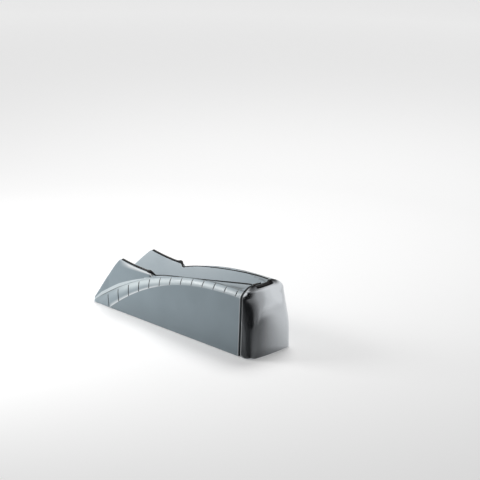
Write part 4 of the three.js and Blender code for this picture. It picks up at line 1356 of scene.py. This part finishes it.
def make_sky(scene, stage):
    """A white sky, seen at full strength and lighting the block more softly."""
    scene.world = bpy.data.worlds.new("sky")
    scene.world.use_nodes = True
    tree = scene.world.node_tree
    back = tree.nodes["Background"]
    feed(tree, back.inputs["Color"], (1.0, 1.0, 1.0, 1.0))
    feed(tree, back.inputs["Strength"], stretched(tree, seen_rays(tree), end=(stage.sky, 1.0)))


def add_lamp(name, power, size, place, target):
    """A rectangular area lamp at a place, turned to a target."""
    data = bpy.data.lights.new(name, "AREA")
    data.shape = "RECTANGLE"
    data.size, data.size_y = size
    data.energy = power
    lamp = bpy.data.objects.new(name, data)
    lamp.location = place
    lamp.rotation_euler = (Vector(target) - Vector(place)).to_track_quat("-Z", "Y").to_euler()
    bpy.context.scene.collection.objects.link(lamp)
    return lamp


def make_lamps(stage):
    """A large lamp high up on the far side, and a smaller one before the toe on the near side."""
    key = add_lamp("key", stage.key_power, *KEY_LAMP)
    key.visible_glossy = False
    add_lamp("fill", stage.fill_power, *FILL_LAMP)


def make_camera(scene, stage):
    """The photograph's view: round the lowest place of the channel, that place left of the middle."""
    turn, rise = stage.camera_turn, stage.camera_rise
    back = Vector((math.sin(turn) * math.cos(rise), -math.cos(turn) * math.cos(rise), math.sin(rise)))
    right = Vector((math.cos(turn), math.sin(turn), 0.0))
    focal = PIXELS_PER_MM * stage.camera_distance / MM
    look = -back + right * (FRAME_OFFSET[0] / focal) + back.cross(right) * (FRAME_OFFSET[1] / focal)
    data = bpy.data.cameras.new("view")
    data.sensor_width = SENSOR_MM
    data.lens = focal / FRAME_PIXELS * SENSOR_MM
    camera = bpy.data.objects.new("view", data)
    camera.location = Vector(VIEW_PLACE) + back * stage.camera_distance
    forward = look.normalized()
    across = (right - forward * right.dot(forward)).normalized()
    camera.rotation_euler = Matrix((across, across.cross(forward), -forward)).transposed().to_euler()
    scene.collection.objects.link(camera)
    scene.camera = camera


# Operators

class RISER_OT_stage(bpy.types.Operator):
    """Sets the floor, the lamps, the sky and the camera"""

    bl_idname = "riser.stage"
    bl_label = "Set the stage"

    def execute(self, context):
        stage = context.scene.riser_stage
        make_floor(stage)
        make_card()
        make_sky(context.scene, stage)
        make_lamps(stage)
        make_camera(context.scene, stage)
        context.scene.view_settings.view_transform = "Standard"
        return {"FINISHED"}


class RISER_OT_body(bpy.types.Operator):
    """Builds the moulded body with its arched bands and channel"""

    bl_idname = "riser.body"
    bl_label = "Build the body"

    def execute(self, context):
        settle(make_body(), "body_plastic", "body_shell")
        return {"FINISHED"}


class RISER_OT_cap(bpy.types.Operator):
    """Builds the glossy end cap"""

    bl_idname = "riser.cap"
    bl_label = "Build the end cap"

    def execute(self, context):
        settle(make_cap(), "cap_plastic", "end_cap")
        return {"FINISHED"}


class RISER_OT_rubber(bpy.types.Operator):
    """Builds the seam seal, the channel pad and the edge beads"""

    bl_idname = "riser.rubber"
    bl_label = "Build the rubber pieces"

    def execute(self, context):
        settle(make_seal(), "black_rubber", "seam_seal")
        settle(make_pad(), "black_rubber", "channel_pad")
        for word, side in SIDES.items():
            settle(make_bead(word, side), "black_rubber", f"lip_bead_{word}")
        return {"FINISHED"}


def stand_in(node, grid, axes, place, slot):
    """A piece that stands for a node: its grid, moved to the node's middle along the axes that are
    marked 1, and then by a place of its own."""
    low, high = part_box(node)
    middle = (np.array(low) + np.array(high)) / 2.0 / MM
    piece = new_piece(f"{node}_skin", [(grid + (middle * np.array(axes) + np.array(place)), True)])
    settle(piece, slot, node)


class RISER_OT_base(bpy.types.Operator):
    """Finishes the base plate and builds the rubber feet"""

    bl_idname = "riser.base"
    bl_label = "Build the base"

    def execute(self, context):
        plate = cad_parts["base_plate"]
        plate.data.materials.clear()
        plate.data.materials.append(finish_named("plate_plastic"))
        foot = foot_grid(sizes())
        for row in ROWS:
            for word in SIDES:
                stand_in(f"foot_{row}_{word}", foot, (1.0, 1.0, 0.0), (0.0, 0.0, 0.0), "foot_rubber")
        return {"FINISHED"}


class RISER_OT_screws(bpy.types.Operator):
    """Builds the screws of the base plate and of the end cap"""

    bl_idname = "riser.screws"
    bl_label = "Build the screws"

    def execute(self, context):
        s = sizes()
        upright = screw_grid(s, SCREW.base_length)
        level = screw_grid(s, SCREW.cap_length)[..., [2, 1, 0]] * np.array([1.0, 1.0, -1.0])
        up, along = (0.0, 0.0, SCREW.base_seat), (s.bulkhead_x - SCREW.cap_seat, 0.0, 0.0)
        for word in SIDES:
            for row in ROWS:
                stand_in(f"base_screw_{row}_{word}", upright, (1.0, 1.0, 0.0), up, "screw_steel")
            for height in HEIGHTS:
                stand_in(f"cap_screw_{height}_{word}", level, (0.0, 1.0, 1.0), along, "screw_steel")
        return {"FINISHED"}


class RISER_PT_panel(bpy.types.Panel):
    """Sizes, finishes and building steps of the riser block"""

    bl_idname = "RISER_PT_panel"
    bl_label = "Front Riser Block"
    bl_space_type = "VIEW_3D"
    bl_region_type = "UI"
    bl_category = "Riser"

    def draw(self, context):
        for step in BUILD_STEPS:
            self.layout.operator(step.bl_idname)
        for name, kind in SCENE_GROUPS.items():
            box = self.layout.box()
            box.label(text=kind.__doc__)
            for field in kind.__annotations__:
                box.prop(getattr(context.scene, name), field)


BUILD_STEPS = (
    RISER_OT_stage, RISER_OT_body, RISER_OT_cap, RISER_OT_rubber, RISER_OT_base, RISER_OT_screws)
SCENE_GROUPS = {"riser_sizes": RiserSizes, "riser_finish": RiserFinish, "riser_stage": RiserStage}
CLASSES = (*SCENE_GROUPS.values(), *BUILD_STEPS, RISER_PT_panel)


def register():
    """Registers the classes and hangs the panel's groups on the scene."""
    for kind in CLASSES:
        bpy.utils.register_class(kind)
    for name, kind in SCENE_GROUPS.items():
        setattr(bpy.types.Scene, name, bpy.props.PointerProperty(type=kind))


def unregister():
    """Takes the groups and the classes away again, in reverse order."""
    for name in SCENE_GROUPS:
        delattr(bpy.types.Scene, name)
    for kind in reversed(CLASSES):
        bpy.utils.unregister_class(kind)


def main():
    """Builds everything in order."""
    register()
    for step in BUILD_STEPS:
        group, name = step.bl_idname.split(".")
        getattr(getattr(bpy.ops, group), name)()
    bpy.context.view_layer.update()


if __name__ == "__main__":
    main()
